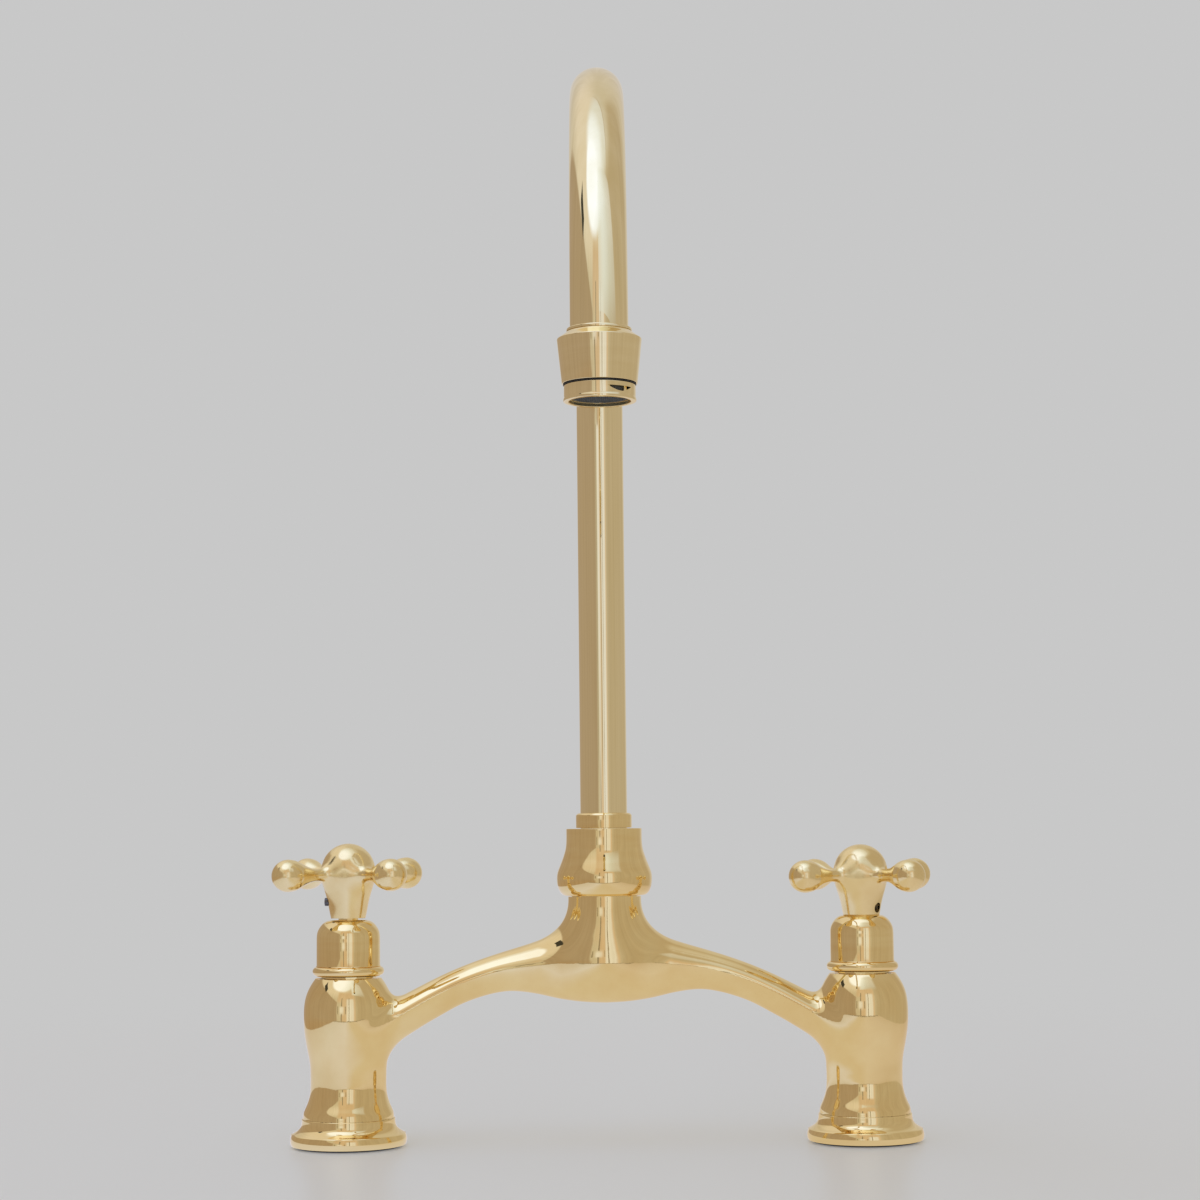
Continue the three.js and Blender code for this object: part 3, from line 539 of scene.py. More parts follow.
def makeFloor():
    startPiece()
    bpy.ops.mesh.primitive_plane_add(size=floorLook["size"], location=(0, 0, floorLook["height"]))
    floor = named(bpy.context.object, "paleFloor")
    bpy.ops.object.transform_apply()
    tree, place = placeOn(floor)
    x, y = place["X"], place["Y"]
    paint = addNode(tree, "ShaderNodeBsdfPrincipled", {
        "Base Color": floorLook["colour"], "Roughness": floorLook["roughness"],
        "Specular IOR Level": floorLook["specular"]}).outputs[0]
    # far off it runs into the backdrop without an edge
    far = mathNode(tree, "SQRT", mathNode(tree, "ADD", mathNode(tree, "MULTIPLY", x, x),
                                          mathNode(tree, "MULTIPLY", y, y)))
    distant = rescaled(tree, far, *floorLook["fade"], floorLook["leastFade"], curve="SMOOTHSTEP")
    level = addNode(tree, "ShaderNodeEmission", {"Color": (*studio["backdrop"], 1)}).outputs[0]
    paint = mixedShader(tree, distant, paint, level)
    # the brass sees a table of its own size, lit a little brighter, and the room past its edges
    side, front, back = studio["tableReach"]
    soft = studio["tableSoft"]
    onTable = patch(tree, x, y, (-side, side, soft), (-front, back, soft))
    share = rescaled(tree, x, -side, side)
    cloth = ramp(tree, share, [((at / side + 1) / 2, colour) for at, colour in studio["table"]])
    edge = band(tree, y, -front, -front + studio["tableEdge"], soft)
    cloth = mixed(tree, edge, cloth, studio["frame"])
    top = addNode(tree, "ShaderNodeEmission", {"Color": cloth}).outputs[0]
    past = addNode(tree, "ShaderNodeBsdfTransparent").outputs[0]
    mirroredRay = addNode(tree, "ShaderNodeLightPath").outputs["Is Glossy Ray"]
    shade = mixedShader(tree, mirroredRay, paint, mixedShader(tree, onTable, past, top))
    addNode(tree, "ShaderNodeOutputMaterial", {"Surface": shade})


def makeCurtain():
    left, right, bottom, top = curtain["edges"]
    startPiece()
    bpy.ops.mesh.primitive_plane_add(size=1, location=(0, 0, 0))
    cloth = named(bpy.context.object, "paleCurtain")
    middle = Vector((columnAxis.x + (left + right) / 2, columnAxis.y - curtain["ahead"], (bottom + top) / 2))
    cloth.data.transform(Matrix.Translation(middle) @ rotation(90, "X")
                         @ Matrix.Diagonal((right - left, top - bottom, 1, 1)))
    tree, place = placeOn(cloth)
    across = rescaled(tree, place["X"], columnAxis.x + left, columnAxis.x + right)
    upwards = rescaled(tree, place["Z"], bottom, top)
    tint = mixed(tree, 1.0, ramp(tree, across, curtain["across"]), ramp(tree, upwards, curtain["upwards"]),
                 "MULTIPLY")
    lit = addNode(tree, "ShaderNodeEmission", {"Color": tint}).outputs[0]
    slanting = mathNode(tree, "MULTIPLY_ADD", across, curtain["slant"], upwards)
    thickness = patch(tree, across, slanting, curtain["thickAcross"], curtain["thickUp"])
    clear = addNode(tree, "ShaderNodeBsdfTransparent").outputs[0]
    addNode(tree, "ShaderNodeOutputMaterial", {"Surface": mixedShader(tree, thickness, clear, lit)})
    cloth.visible_camera = False


makeWorld()
makeFloor()
makeCurtain()
print("studio built")


# Shared effects. Hand polishing leaves faint tone changes, a slight haze and a gentle wave in the metal.
polishing = {
    "patches": (3.0, 0.55), "streaks": (4.0, 0.6),  # detail and roughness of the two noises
    "hazeOfStreaks": 0.6, "hazeOfPatches": 0.4, "waveOfStreaks": 0.12,
    # the stretch of each noise that spreads over a brass's own tones and gloss
    "toneRange": (0.3, 0.7), "hazeRange": (0.35, 0.65),
    "edgeTint": (1, 0.97, 0.92, 1),
}


def polishGroup():
    group = bpy.data.node_groups.new("handPolish", "ShaderNodeTree")
    for name, way, kind in (("Place", "INPUT", "Vector"), ("Patch Size", "INPUT", "Float"),
                            ("Streak Size", "INPUT", "Float"), ("Tone", "OUTPUT", "Float"),
                            ("Haze", "OUTPUT", "Float"), ("Wave", "OUTPUT", "Float")):
        group.interface.new_socket(name=name, in_out=way, socket_type=f"NodeSocket{kind}")
    given = addNode(group, "NodeGroupInput").outputs
    patches = noise(group, given["Place"], given["Patch Size"], *polishing["patches"])
    streaks = noise(group, given["Place"], given["Streak Size"], *polishing["streaks"])
    haze = mathNode(group, "MULTIPLY_ADD", streaks, polishing["hazeOfStreaks"],
                    mathNode(group, "MULTIPLY", patches, polishing["hazeOfPatches"]))
    wave = mathNode(group, "MULTIPLY_ADD", streaks, polishing["waveOfStreaks"], patches)
    addNode(group, "NodeGroupOutput", {"Tone": patches, "Haze": haze, "Wave": wave})
    return group


handPolish = polishGroup()


def newMaterial(name):
    material = bpy.data.materials.new(name)
    material.use_nodes = True
    return material, material.node_tree, material.node_tree.nodes["Principled BSDF"]


def setLook(tree, shader, tone, gloss, height, relief, metal):
    bump = addNode(tree, "ShaderNodeBump", {"Height": height, "Distance": relief * mm}).outputs[0]
    for key, value in (("Base Color", tone), ("Roughness", gloss), ("Normal", bump)):
        tree.links.new(value, shader.inputs[key])
    shader.inputs["Metallic"].default_value = metal


def brass(name, look):
    material, tree, shader = newMaterial(name)
    place = addNode(tree, "ShaderNodeMapping", {
        "Vector": addNode(tree, "ShaderNodeTexCoord").outputs["Object"], "Scale": look["stretch"]}).outputs[0]
    polish = addNode(tree, "ShaderNodeGroup", {
        "Place": place, "Patch Size": look["patchSize"], "Streak Size": look["streakSize"]},
        node_tree=handPolish).outputs
    tone = ramp(tree, polish["Tone"], list(zip(polishing["toneRange"], (look["deep"], look["bright"]))))
    gloss = rescaled(tree, polish["Haze"], *polishing["hazeRange"], *look["gloss"])
    setLook(tree, shader, tone, gloss, polish["Wave"], look["wave"], 1)
    shader.inputs["Specular Tint"].default_value = polishing["edgeTint"]
    return material


castBrass = brass("castBrass", {
    "deep": (0.87, 0.67, 0.32), "bright": (0.92, 0.75, 0.39), "stretch": (1, 1, 1),
    "patchSize": 70, "streakSize": 600, "gloss": (0.015, 0.05), "wave": 0.045})
handleBrass = brass("handleBrass", {
    "deep": (0.87, 0.69, 0.35), "bright": (0.92, 0.77, 0.42), "stretch": (1, 1, 1),
    "patchSize": 110, "streakSize": 900, "gloss": (0.13, 0.20), "wave": 0.02})
tubeBrass = brass("tubeBrass", {
    "deep": (0.87, 0.74, 0.43), "bright": (0.92, 0.80, 0.50), "stretch": (1, 1, 0.06),
    "patchSize": 160, "streakSize": 900, "gloss": (0.015, 0.05), "wave": 0.012})
turnedBrass = brass("turnedBrass", {
    "deep": (0.87, 0.67, 0.32), "bright": (0.92, 0.75, 0.39), "stretch": (0.12, 0.12, 1),
    "patchSize": 260, "streakSize": 1800, "gloss": (0.015, 0.045), "wave": 0.008})
outletBrass = brass("outletBrass", {
    "deep": (0.87, 0.73, 0.42), "bright": (0.92, 0.79, 0.48), "stretch": (0.12, 0.12, 1),
    "patchSize": 260, "streakSize": 1800, "gloss": (0.015, 0.045), "wave": 0.006})


def plain(name, look):
    # rubber, plastic, ceramic or steel: two tones of one noise, and a fine grain
    material, tree, shader = newMaterial(name)
    grain = noise(tree, addNode(tree, "ShaderNodeTexCoord").outputs["Object"], look["grain"], 4.0)
    tone = ramp(tree, grain, [(0.35, look["dark"]), (0.65, look["light"])])
    gloss = rescaled(tree, grain, 0.0, 1.0, *look["gloss"])
    setLook(tree, shader, tone, gloss, grain, look["relief"], look.get("metal", 0))
    return material


materials = {
    "polished_brass": castBrass,
    "turned_brass": turnedBrass,
    "dark_steel": plain("darkSteel", {"dark": (0.09, 0.09, 0.10), "light": (0.17, 0.17, 0.18),
                                      "grain": 900, "gloss": (0.25, 0.4), "relief": 0.01, "metal": 1}),
    "rubber": plain("blackRubber", {"dark": (0.010, 0.010, 0.011), "light": (0.022, 0.022, 0.023),
                                    "grain": 1500, "gloss": (0.55, 0.75), "relief": 0.004}),
    "nylon": plain("whiteNylon", {"dark": (0.62, 0.61, 0.57), "light": (0.72, 0.71, 0.67),
                                  "grain": 400, "gloss": (0.35, 0.5), "relief": 0.01}),
    "ceramic": plain("groundCeramic", {"dark": (0.68, 0.66, 0.62), "light": (0.80, 0.78, 0.74),
                                       "grain": 1200, "gloss": (0.1, 0.2), "relief": 0.004}),
    "dark_plastic": plain("darkPlastic", {"dark": (0.045, 0.050, 0.052), "light": (0.075, 0.082, 0.085),
                                          "grain": 1400, "gloss": (0.3, 0.5), "relief": 0.012}),
}
print("materials made")


# The casting: two pillars, the bridge and the neck, blended into one skin.
casting = {
    "pillar": [(9, 18.3), (11.3, 17.9), (12.8, 17.75), (14.7, 17.05), (16.6, 16.2), (18.6, 15.55),
               (20.5, 15.15), (23, 14.93), (27, 14.93), (32.2, 15.2), (36.1, 15.9), (40, 16.65),
               (43.9, 17.25), (47.8, 17.55), (53.6, 17.5), (57.5, 16.95), (60.5, 15.95), (63.4, 14.4),
               (65.4, 13), (67.5, 11.2), (71, 7)],
    "bridgeTop": [(0, 85.5), (10, 84.3), (20, 81.6), (29, 78.5), (38.9, 75.5), (51.6, 71.4), (64.3, 66.3),
                  (72, 62.6), (82, 57.6), (102, 48.5)],
    "bridgeBottom": [(0, 54.8), (10, 55.4), (20, 57.1), (29, 58.8), (38, 59.6), (45, 58.6), (51.7, 56.7),
                     (58, 54.2), (64.4, 50.8), (70.8, 47.2), (77, 43.4), (84, 39), (102, 28)],
    "bridgeDepth": [(0, 13.2), (10, 12.6), (20, 11.2), (28, 10), (38, 8.4), (50, 7.5), (65, 7.9), (80, 9.2),
                    (102, 11)],
    "ridge": 0.59,  # height of the line along the bridge where it leans back, as a share of its depth there
    "ridgePower": 1.62,  # 2 would be round, and a smaller number leans back more suddenly
    "leastLean": 0.03,
    "end": 102,  # of the bridge, inside the pillar
    "neckRadius": 14.45,
    "neckRoots": 66, "rootRound": 8,  # where the neck's column ends inside the hub
    "neckFillet": 13,
    "pillarFillet": 6,
    # its flat faces, each with its radius and the (radius, push) steps of the bores that go in from it
    "foot": 11.04, "footRadius": 17.9,
    "spigot": [(13.5, -9.2), (9.4, 16), (6.5, 12)],  # under the flange, with the inlet's socket
    "mouth": 65.4, "mouthRadius": 13,
    "chamber": [(9.6, -23.4), (6.5, -11.7)],
    "shoulder": 96.5,
    "socket": [(13, 15.5), (10.2, -34), (8.5, -17)],
    "feetBelow": 20, "mouthsBeyond": (78, 55), "shoulderWithin": (30, 85),  # off the middle, and height
    "skin": 0.75,  # size of its mesh
    # the rough shape that the skin starts from
    "stations": [0, 10, 20, 30, 40, 50, 60, 70, 80, 92, 100], "ringSides": 40,
    "pillarBlank": (8, 71), "neckBlank": (62, 101), "blankSides": 64,
}
pillarSpacing = (valveAxes["right"].x - valveAxes["left"].x) / 2 / mm


def bridgeShape(along):
    # the heights of its top and underside, and its half depth, at distances from its middle
    keys = ("bridgeTop", "bridgeBottom", "bridgeDepth")
    return [cubicThrough(*np.array(casting[key]).T, along) for key in keys]


def castingField(places):
    x, y, z = places.T
    across = np.abs(x)
    pillar = revolved(np.hypot(across - pillarSpacing, y), z, *np.array(casting["pillar"]).T)
    top, bottom, depth = bridgeShape(np.clip(across, 0, casting["end"]))
    ridge = bottom + (top - bottom) * casting["ridge"]
    above = z > ridge
    half = np.where(above, top - ridge, ridge - bottom)
    power = np.where(above, casting["ridgePower"], 2)
    rise = np.abs(z - ridge) / half + 1e-6
    share = np.sqrt((y / depth)**2 + rise**power) + 1e-6
    lean = np.hypot(2 * y / depth**2, power * rise**(power - 1) / half) / (2 * share)
    bridge = np.maximum((share - 1) / np.maximum(lean, casting["leastLean"]), across - casting["end"])
    radial = np.hypot(x, y) - casting["neckRadius"]
    below = casting["neckRoots"] - z
    neck = -blended(-radial, -below, casting["rootRound"])
    return blended(blended(bridge, neck, casting["neckFillet"]), pillar, casting["pillarFillet"])


def bridgeBlank():
    # rings along the bridge, joined by faces, with a plain turned blank for each pillar and for the neck
    startPiece()
    sides = casting["ringSides"]
    bpy.ops.mesh.primitive_circle_add(vertices=sides, radius=mm, location=(0, 0, 0))
    blank = bpy.context.object
    stations = casting["stations"]
    stations = [-s for s in stations[:0:-1]] + stations
    rings = [blank] + [copied(blank, "ring") for _ in stations[1:]]
    angles = [2 * math.pi * k / sides for k in range(sides)]
    for ring, station in zip(rings, stations):
        top, bottom, depth = (float(size[0]) for size in bridgeShape([abs(station)]))
        for vertex, a in zip(ring.data.vertices, angles):
            vertex.co = (station * mm + columnAxis.x, columnAxis.y + depth * math.cos(a) * mm,
                         ((top + bottom) / 2 + (top - bottom) / 2 * math.sin(a)) * mm)
    joined("bridgeBlank", *rings)
    editAll(blank)
    bpy.ops.mesh.bridge_edge_loops()
    bpy.ops.mesh.select_all(action="SELECT")
    bpy.ops.mesh.fill_holes(sides=0)
    leaveEdit()
    closeSeams(blank)
    low, high = casting["pillarBlank"]
    pillar = [(0, low)] + [(r, z) for z, r in casting["pillar"] if z > low] + [(0, high)]
    sides = casting["blankSides"]
    pillars = [turned("pillarBlank", pillar, axis, sides) for axis in valveAxes.values()]
    neck = rod(casting["neckRadius"], *casting["neckBlank"], columnAxis, sides)
    return joined("bridgeCasting", blank, *pillars, neck)


def makeCasting():
    body = bridgeBlank()
    applied(body, "REMESH", mode="VOXEL", voxel_size=casting["skin"] * mm)
    drawOnto(body, castingField, columnAxis)
    # each slice reaches only the faces round its own end of the casting
    slicedAt(body, casting["foot"], True, lambda centre, normal: centre.z < casting["feetBelow"])
    out, up = casting["mouthsBeyond"]
    slicedAt(body, casting["mouth"], False, lambda centre, normal: abs(centre.x) > out and centre.z > up)
    out, up = casting["shoulderWithin"]
    slicedAt(body, casting["shoulder"], False, lambda centre, normal: abs(centre.x) < out and centre.z > up)
    for axis in valveAxes.values():
        bored(body, casting["foot"], axis, -1, casting["footRadius"], casting["spigot"])
        bored(body, casting["mouth"], axis, 1, casting["mouthRadius"], casting["chamber"])
    bored(body, casting["shoulder"], columnAxis, 1, casting["neckRadius"], casting["socket"])
    finished(body, "bridge_body", "polished_brass")
    trueNormals(body, castingField, columnAxis)


makeCasting()
print("casting made")


# Deck flanges, with the gaskets that they stand on. A corner is (radius, height, rounding).
flange = {
    "rim": [(22.5, 0.65, 0.15), (22.9, 1.6, 1.2), (22.9, 3.4, 1.2), (22.35, 5.0, 0.18)],
    "cove": [(22.0, 5.15), (20.3, 6.15), (18.9, 7.6), (18.45, 9.2), (18.35, 10.4)],
    "topRadius": 18.3, "topRound": 0.35,
    "bore": 13.8,
    "recess": (21.2, 1.8),  # that the gasket lies in
}
gasket = {"width": 7.9, "innerRound": 0.2, "outerRound": 0.3}


def makeFlange(hand):
    top = heightsOf(f"{hand}_base_flange")[1]
    cove = smoothLine(flange["cove"], 22)
    recessRadius, recessTop = flange["recess"]
    outline = rounded(flange["rim"]) + cove
    outline += rounded([cove[-1] + (0,), (flange["topRadius"], top, flange["topRound"]),
                        (flange["bore"], top, 0), (flange["bore"], recessTop, 0),
                        (recessRadius, recessTop, 0), (recessRadius, flange["rim"][0][1], 0)])[1:]
    piece = turned(f"{hand}DeckFlange", outline, valveAxes[hand], 160)
    finished(piece, f"{hand}_base_flange", "turned_brass")
    low, high = heightsOf(f"{hand}_base_gasket")
    boxLow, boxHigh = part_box(f"{hand}_base_gasket")
    outer = (boxHigh.x - boxLow.x) / 2 / mm
    inner = outer - gasket["width"]
    ring = rounded([(inner, low, gasket["innerRound"]), (outer, low, gasket["outerRound"]),
                    (outer, high, gasket["outerRound"]), (inner, high, gasket["innerRound"])], 3)
    finished(turned(f"{hand}DeckGasket", ring, valveAxes[hand], 96), f"{hand}_base_gasket", "rubber")


# Bonnet covers: a bead at the foot, a straight wall and a rounded top with a hole for the handle's foot.
# Heights are above their own foot.
cover = {
    "beadRadius": 14.1, "beadHeight": 3.7, "beadFoot": 0.3, "wallRadius": 12.5, "wall": 1.2,
    "overBead": [(0.25, 0.08), (0.02, 0.45)],  # out from the wall, and up from the bead
    "top": [(12.5, 14.4), (12.42, 16.0), (12.1, 17.5), (11.4, 18.9), (10.3, 20.3), (9.3, 21.1), (8.4, 21.55)],
    "hole": [(7.8, 0), (7.45, 0.05), (7.3, 0.25), (7.3, 1.2), (9.2, 1.4)],  # radii, and depths under the top
    "underTop": 0.9,
}


def makeCover(hand):
    low, high = heightsOf(f"{hand}_bonnet_cover")
    half = cover["beadHeight"] / 2
    beadMiddle = cover["beadRadius"] - half
    outline = [(cover["wallRadius"] - cover["wall"], low), (beadMiddle - cover["beadFoot"], low)]
    outline += arc(beadMiddle, low + half, half, -88, 80, 16)
    outline += [(cover["wallRadius"] + out, low + cover["beadHeight"] + up) for out, up in cover["overBead"]]
    outline += raised(smoothLine(cover["top"], 30), low)
    outline += [(r, high - depth) for r, depth in cover["hole"]]
    outline += [(r - cover["wall"], low + z - cover["underTop"])
                for r, z in smoothLine(cover["top"][:5], 12)[::-1]]
    piece = turned(f"{hand}BonnetCover", outline, valveAxes[hand], 144)
    finished(piece, f"{hand}_bonnet_cover", "turned_brass")


for hand in valveAxes:
    makeFlange(hand)
    makeCover(hand)
print("flanges and covers made")


# The cross handle, drawn in its own frame: its foot at height 0 and its first arm along +X.
handle = {
    "hub": [(-2, 6.3), (0, 6.8), (1.5, 7.15), (3, 7.45), (5.4, 7.9), (7.8, 8.45), (10.2, 9.15), (13.5, 10.1),
            (16.5, 10.55), (18.75, 10.6)],
    "domeMiddle": 18.75, "domeRadius": 10.6,
    "armHeight": 17.15,
    "arm": [(6, 4.9), (9, 4.2), (11.5, 3.05), (14.3, 2.42), (17, 2.6), (20, 3.5), (23, 4.85), (25.8, 5.95),
            (28.4, 6.32)],
    "ballMiddle": 28.4, "ballRadius": 6.32, "tip": 35.0,
    "fillet": 3.2,
    "footRadius": 6.8, "footBelow": 5,
    "bore": (4.1, 12),
    "armRoot": 3,
    "skin": 0.5,
}
# How each one is fitted: degrees from +X to its first arm and to its grub screw, and the screw's own sizes.
fittings = {
    "left": {"turn": 40.9, "screwTurn": 180, "screwHeight": 6.4, "screwRadius": 1.6, "screwReach": 9.3},
    "right": {"turn": 35, "screwTurn": -38, "screwHeight": 4.4, "screwRadius": 1.7, "screwReach": 5.7},
}
grubScrew = {
    "clearance": 0.25, "holeReach": 12, "past": 1,  # how far a cutter goes past what it cuts
    "behind": 0.3,  # from the handle's bore to the screw
    "bevel": 0.18, "keyShare": 0.56, "keyDepth": 1.4,
}


def handleField(places):
    x, y, z = places.T
    radius = np.hypot(x, y)
    stem = np.maximum(revolved(radius, z, *np.array(handle["hub"]).T), z - handle["domeMiddle"])
    dome = np.sqrt(radius**2 + np.clip(z - handle["domeMiddle"], 0, None)**2) - handle["domeRadius"]
    field = np.where(z > handle["domeMiddle"], dome, stem)
    stretch = handle["ballRadius"] / (handle["tip"] - handle["ballMiddle"])
    for along, aside in ((np.abs(x), y), (np.abs(y), x)):
        off = np.hypot(aside, z - handle["armHeight"])
        flare = revolved(off, along, *np.array(handle["arm"]).T)
        ball = np.hypot(off, np.clip(along - handle["ballMiddle"], 0, None) * stretch) - handle["ballRadius"]
        field = blended(field, np.where(along > handle["ballMiddle"], ball, flare), handle["fillet"])
    return field


def handleBlank():
    hub = [(0, handle["hub"][0][0])] + [(r, z) for z, r in handle["hub"]]
    hub += arc(0, handle["domeMiddle"], handle["domeRadius"], 8, 90, 12)
    blank = [turned("hubBlank", hub, Vector(), 64)]
    outline = [(0, handle["armRoot"])] + [(r, s) for s, r in handle["arm"]]
    outline += arc(0, handle["ballMiddle"], handle["ballRadius"], 10, 90, 10)
    for k in range(4):
        arm = turned("armBlank", outline, Vector(), 32)
        arm.data.transform(Matrix.Translation((0, 0, handle["armHeight"] * mm)) @ rotation(k * 90)
                           @ rotation(90, "Y"))
        blank.append(arm)
    blank = joined("handleBlank", *blank)
    applied(blank, "REMESH", mode="VOXEL", voxel_size=handle["skin"] * mm)
    drawOnto(blank, handleField, Vector())
    slicedAt(blank, 0, True, lambda centre, normal: centre.z < handle["footBelow"])
    bored(blank, 0, Vector(), -1, handle["footRadius"], [handle["bore"]])
    return blank


def screwRod(fitting, radius, inner, outer, sides):
    # lies where the screw does, from inner to outer off the handle's axis
    made = rod(radius, inner, outer, Vector(), sides)
    made.data.transform(Matrix.Translation((0, 0, fitting["screwHeight"] * mm))
                        @ rotation(fitting["screwTurn"]) @ rotation(90, "Y"))
    return made


def makeHandles():
    blank = handleBlank()
    for hand, fitting in fittings.items():
        foot = heightsOf(f"{hand}_handle")[0]
        place = valveAxes[hand] + Vector((0, 0, foot * mm))
        turn = rotation(fitting["turn"])
        back = np.array(turn.inverted().to_3x3())
        piece = copied(blank, f"{hand}CrossHandle", turn)
        radius, reach, past = fitting["screwRadius"], fitting["screwReach"], grubScrew["past"]
        cutAway(piece, screwRod(fitting, radius + grubScrew["clearance"], handle["bore"][0] - past,
                                grubScrew["holeReach"], 40))
        piece.data.transform(Matrix.Translation(place))
        finished(piece, f"{hand}_handle", "polished_brass", handleBrass, angle=30)
        trueNormals(piece, lambda places: handleField(places @ back.T), place)
        screw = screwRod(fitting, radius, handle["bore"][0] + grubScrew["behind"], reach, 48)
        applied(screw, "BEVEL", width=grubScrew["bevel"] * mm, segments=3, limit_method="ANGLE")
        cutAway(screw, screwRod(fitting, radius * grubScrew["keyShare"], reach - grubScrew["keyDepth"],
                                reach + past, 6))
        screw.data.transform(Matrix.Translation(place))
        finished(named(screw, f"{hand}GrubScrew"), f"{hand}_set_screw", "dark_steel")
    bpy.data.objects.remove(blank)


makeHandles()
print("handles made")


# The spout's nut and ferrule. The nut's side is above its own foot.
nut = {
    "side": [(14.7, 0), (16.5, 0.35), (17.4, 1.1), (18.0, 2.1), (18.45, 3.3), (18.82, 5.6), (18.72, 8.6),
             (17.75, 11.5), (16.75, 14.0), (15.95, 16.3), (15.3, 18.8), (15.05, 21.3), (15.0, 23.6),
             (15.0, 26.0)],
    "topRound": 0.4, "bore": 13.35, "collar": 9.9, "collarThickness": 7.2,
}
ferrule = {"radius": 11.1, "chamfer": 0.8, "bore": 9.45, "footRound": 0.15, "topRound": 0.35,
           "boreRound": 0.1}


def makeNut():
    low, high = heightsOf("spout_nut")
    side = raised(smoothLine(nut["side"], 72), low)
    inside = high - nut["collarThickness"]
    outline = side[:-1] + rounded([side[-1] + (0,), (nut["side"][-1][0], high, nut["topRound"]),
                                   (nut["collar"], high, 0), (nut["collar"], inside, 0),
                                   (nut["bore"], inside, 0), (nut["bore"], low, 0)])[1:]
    finished(turned("spoutNut", outline, columnAxis, 160), "spout_nut", "turned_brass")
    low, high = heightsOf("spout_ferrule")
    radius, chamfer, rounding = ferrule["radius"], ferrule["chamfer"], ferrule["topRound"]
    outline = rounded([(ferrule["bore"], low, 0), (radius, low, ferrule["footRound"]),
                       (radius, high - chamfer, rounding), (radius - chamfer, high, rounding),
                       (ferrule["bore"], high, ferrule["boreRound"])])
    finished(turned("spoutFerrule", outline, columnAxis, 128), "spout_ferrule", "turned_brass")


# The gooseneck: one ring, drawn up from the outlet, round the arc and down the column.
gooseneck = {"radius": 9.3, "wall": 1.2, "sides": 112, "bendSteps": 128, "straight": 4.9}


def makeGooseneck():
    low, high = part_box("spout_tube")
    centreHeight = high.z - (columnAxis.y - outletAxis.y) / 2 - gooseneck["radius"] * mm
    startPiece()
    bpy.ops.mesh.primitive_circle_add(vertices=gooseneck["sides"], radius=gooseneck["radius"] * mm,
                                      location=(outletAxis.x, outletAxis.y,
                                                centreHeight - gooseneck["straight"] * mm))
    tube = named(bpy.context.object, "gooseneckTube")
    bpy.ops.object.transform_apply()
    editAll(tube)
    extruded(0, 0, gooseneck["straight"] * mm)
    middle = ((columnAxis.x + outletAxis.x) / 2, (columnAxis.y + outletAxis.y) / 2, centreHeight)
    bpy.ops.mesh.spin(steps=gooseneck["bendSteps"], angle=math.pi, center=middle, axis=(1, 0, 0))
    extruded(0, 0, low.z - centreHeight)
    leaveEdit()
    closeSeams(tube)
    applied(tube, "SOLIDIFY", thickness=gooseneck["wall"] * mm, offset=-1, use_even_offset=True)
    finished(tube, "spout_tube", "polished_brass", tubeBrass, angle=50)


# The outlet: a tapered collar with a rolled lip, a thin washer and the aerator. Heights are above each one's
# own foot, and a corner is (radius, height, rounding).
outlet = {
    "lip": [(9.36, 17.2, 0.1), (9.45, 17.6, 0.2), (10.35, 17.55, 0.45), (10.45, 16.4, 0.3)],
    "shoulder": [(10.5, 16.3), (11.1, 15.75), (12.1, 15.05), (13.2, 14.25)],
    "edge": (13.5, 14.05, 0.35), "foot": (12.0, -0.22, 0.25),
    "thread": 10.9, "seat": 8.6, "bore": 9.36,
}
washer = [(10.8, 0), (11.5, 0), (11.6, 0.08)]  # its lower half
aerator = {
    "outside": [(11.6, 0, 0.3), (11.6, 0.75, 0.3), (11.4, 1.25, 0.4), (11.4, 5.12, 0.25)],
    "mouth": 9.8, "mouthRound": 0.15, "mouthDepth": 1.2, "wall": 1.0,
    "spigot": 10.6, "spigotRound": 0.2, "boreRound": 0.1,
    # the slot for a key: its own outline across and up, from its top's height
    "keySlot": {"turn": -54, "reach": 9.2, "depth": 4, "height": 3.55,
                "outline": [(-4.6, 0), (4.6, 0), (3.6, -0.6), (2.2, -1.25), (0.4, -1.7), (-1.4, -1.5),
                            (-3.2, -0.8)]},
}
insert = {"inner": 8.4, "outer": 9.5, "depth": 2.2, "round": 0.2, "outerRound": 0.25,
          "gauzeHeight": 0.25, "gauzeSize": 17, "gauzeRadius": 8.45, "pitch": 0.58, "wire": 0.2}


def makeOutlet():
    low, high = heightsOf("outlet_collar")
    lip = raised(rounded(outlet["lip"]), low)
    shoulder = raised(smoothLine(outlet["shoulder"], 12), low)
    below = raised([outlet["edge"], outlet["foot"], (outlet["thread"], outlet["foot"][1], 0),
                    (outlet["thread"], outlet["seat"], 0), (outlet["bore"], outlet["seat"], 0)], low)
    outline = lip + shoulder + rounded([shoulder[-1] + (0,)] + below)[1:]
    finished(turned("outletCollar", outline, outletAxis, 160), "outlet_collar", "turned_brass", outletBrass)
    low, high = heightsOf("outlet_washer")
    ring = raised(washer, low) + [(r, high - z) for r, z in washer[::-1]]
    finished(turned("outletWasher", ring, outletAxis, 96), "outlet_washer", "rubber")


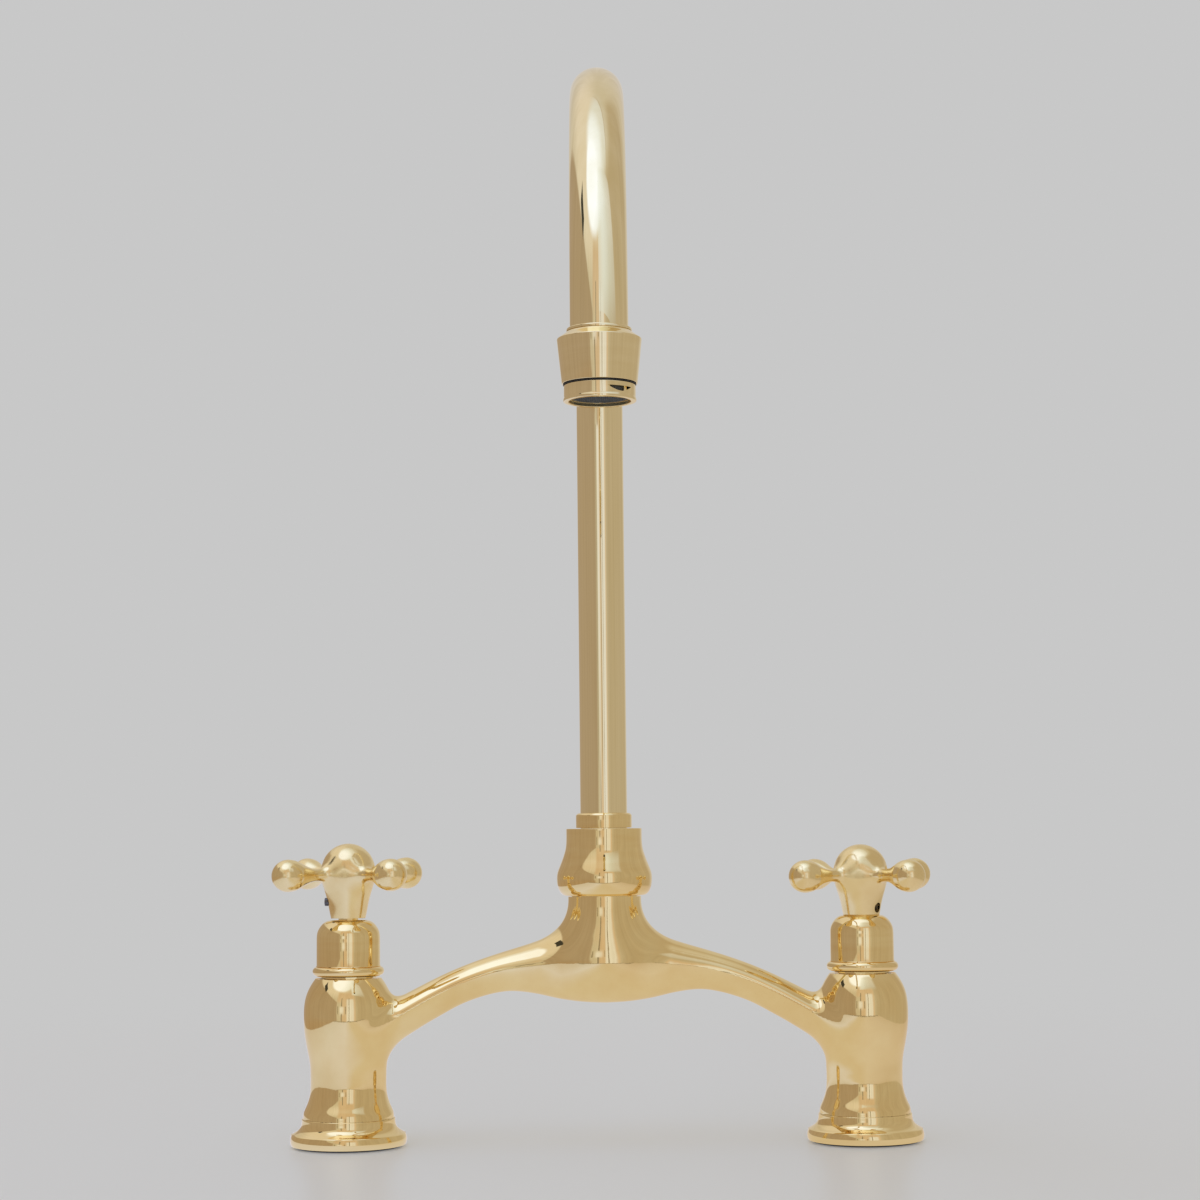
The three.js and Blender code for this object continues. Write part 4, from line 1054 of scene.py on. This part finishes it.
def makeAerator():
    low, high = heightsOf("aerator_housing")
    mouth, spigot, bore = aerator["mouth"], aerator["spigot"], aerator["spigot"] - aerator["wall"]
    outside = raised(aerator["outside"], low)
    mouthTop = low + aerator["mouthDepth"]
    outline = rounded([(mouth, low, aerator["mouthRound"])] + outside + [
        (spigot, outside[-1][1], 0), (spigot, high, aerator["spigotRound"]),
        (bore, high, aerator["boreRound"]), (bore, mouthTop, 0), (mouth, mouthTop, 0)])
    housing = turned("aeratorHousing", outline, outletAxis, 144)
    slot = aerator["keySlot"]
    startPiece()
    bpy.ops.mesh.primitive_circle_add(vertices=len(slot["outline"]), radius=mm, fill_type="NGON")
    cutter = bpy.context.object
    for vertex, (across, up) in zip(cutter.data.vertices, slot["outline"]):
        vertex.co = (slot["reach"] * mm, across * mm, up * mm)
    editAll(cutter)
    extruded(slot["depth"] * mm, 0, 0)
    bpy.ops.mesh.select_all(action="SELECT")
    bpy.ops.mesh.normals_make_consistent(inside=False)
    leaveEdit()
    cutter.data.transform(Matrix.Translation(outletAxis + Vector((0, 0, (low + slot["height"]) * mm)))
                          @ rotation(slot["turn"]))
    cutAway(housing, cutter)
    finished(housing, "aerator_housing", "turned_brass", outletBrass)
    low, high = heightsOf("aerator_insert")
    inner, outer, depth = insert["inner"], insert["outer"], insert["depth"]
    ring = rounded([(inner, low, insert["round"]), (outer, low, insert["outerRound"]),
                    (outer, high, insert["round"]), (0, high, 0), (0, low + depth, 0),
                    (inner, low + depth, 0)], 4)
    ring = turned("aeratorInsert", ring, outletAxis, 96)
    count = int(insert["gauzeSize"] / insert["pitch"])
    startPiece()
    bpy.ops.mesh.primitive_grid_add(x_subdivisions=count, y_subdivisions=count, size=insert["gauzeSize"] * mm,
                                    location=(outletAxis.x, outletAxis.y, (low + insert["gauzeHeight"]) * mm))
    gauze = bpy.context.object
    bpy.ops.object.transform_apply()
    editSelect(gauze, lambda centre, normal: offAxis(centre, outletAxis) > insert["gauzeRadius"])
    bpy.ops.mesh.delete(type="FACE")
    leaveEdit()
    applied(gauze, "WIREFRAME", thickness=insert["wire"] * mm, use_boundary=True, use_replace=True)
    finished(joined("aeratorInsert", ring, gauze), "aerator_insert", "dark_plastic")


makeNut()
makeGooseneck()
makeOutlet()
makeAerator()
print("spout made")


# The pieces inside keep their solids and take the finish that their slot names.
innerFinish = {
    "cartridge_body": "turned_brass", "seat_seal": "rubber", "fixed_disc": "ceramic",
    "moving_disc": "ceramic", "spindle": "turned_brass", "spindle_seal": "rubber",
    "retaining_clip": "dark_steel", "spout_thrust_washer": "nylon", "spout_spigot": "turned_brass",
    "spigot_lower_seal": "rubber", "spigot_upper_seal": "rubber", "spout_slip_ring": "nylon",
    "aerator_inlet_screen": "dark_steel",
}
for name, node in frame["nodes"].items():
    slot = innerFinish.get(name.split("_", 1)[1]) or innerFinish.get(name)
    if slot:
        node.data.materials.clear()
        node.data.materials.append(materials[slot])
print("inner pieces dressed")

bpy.ops.object.select_all(action="DESELECT")
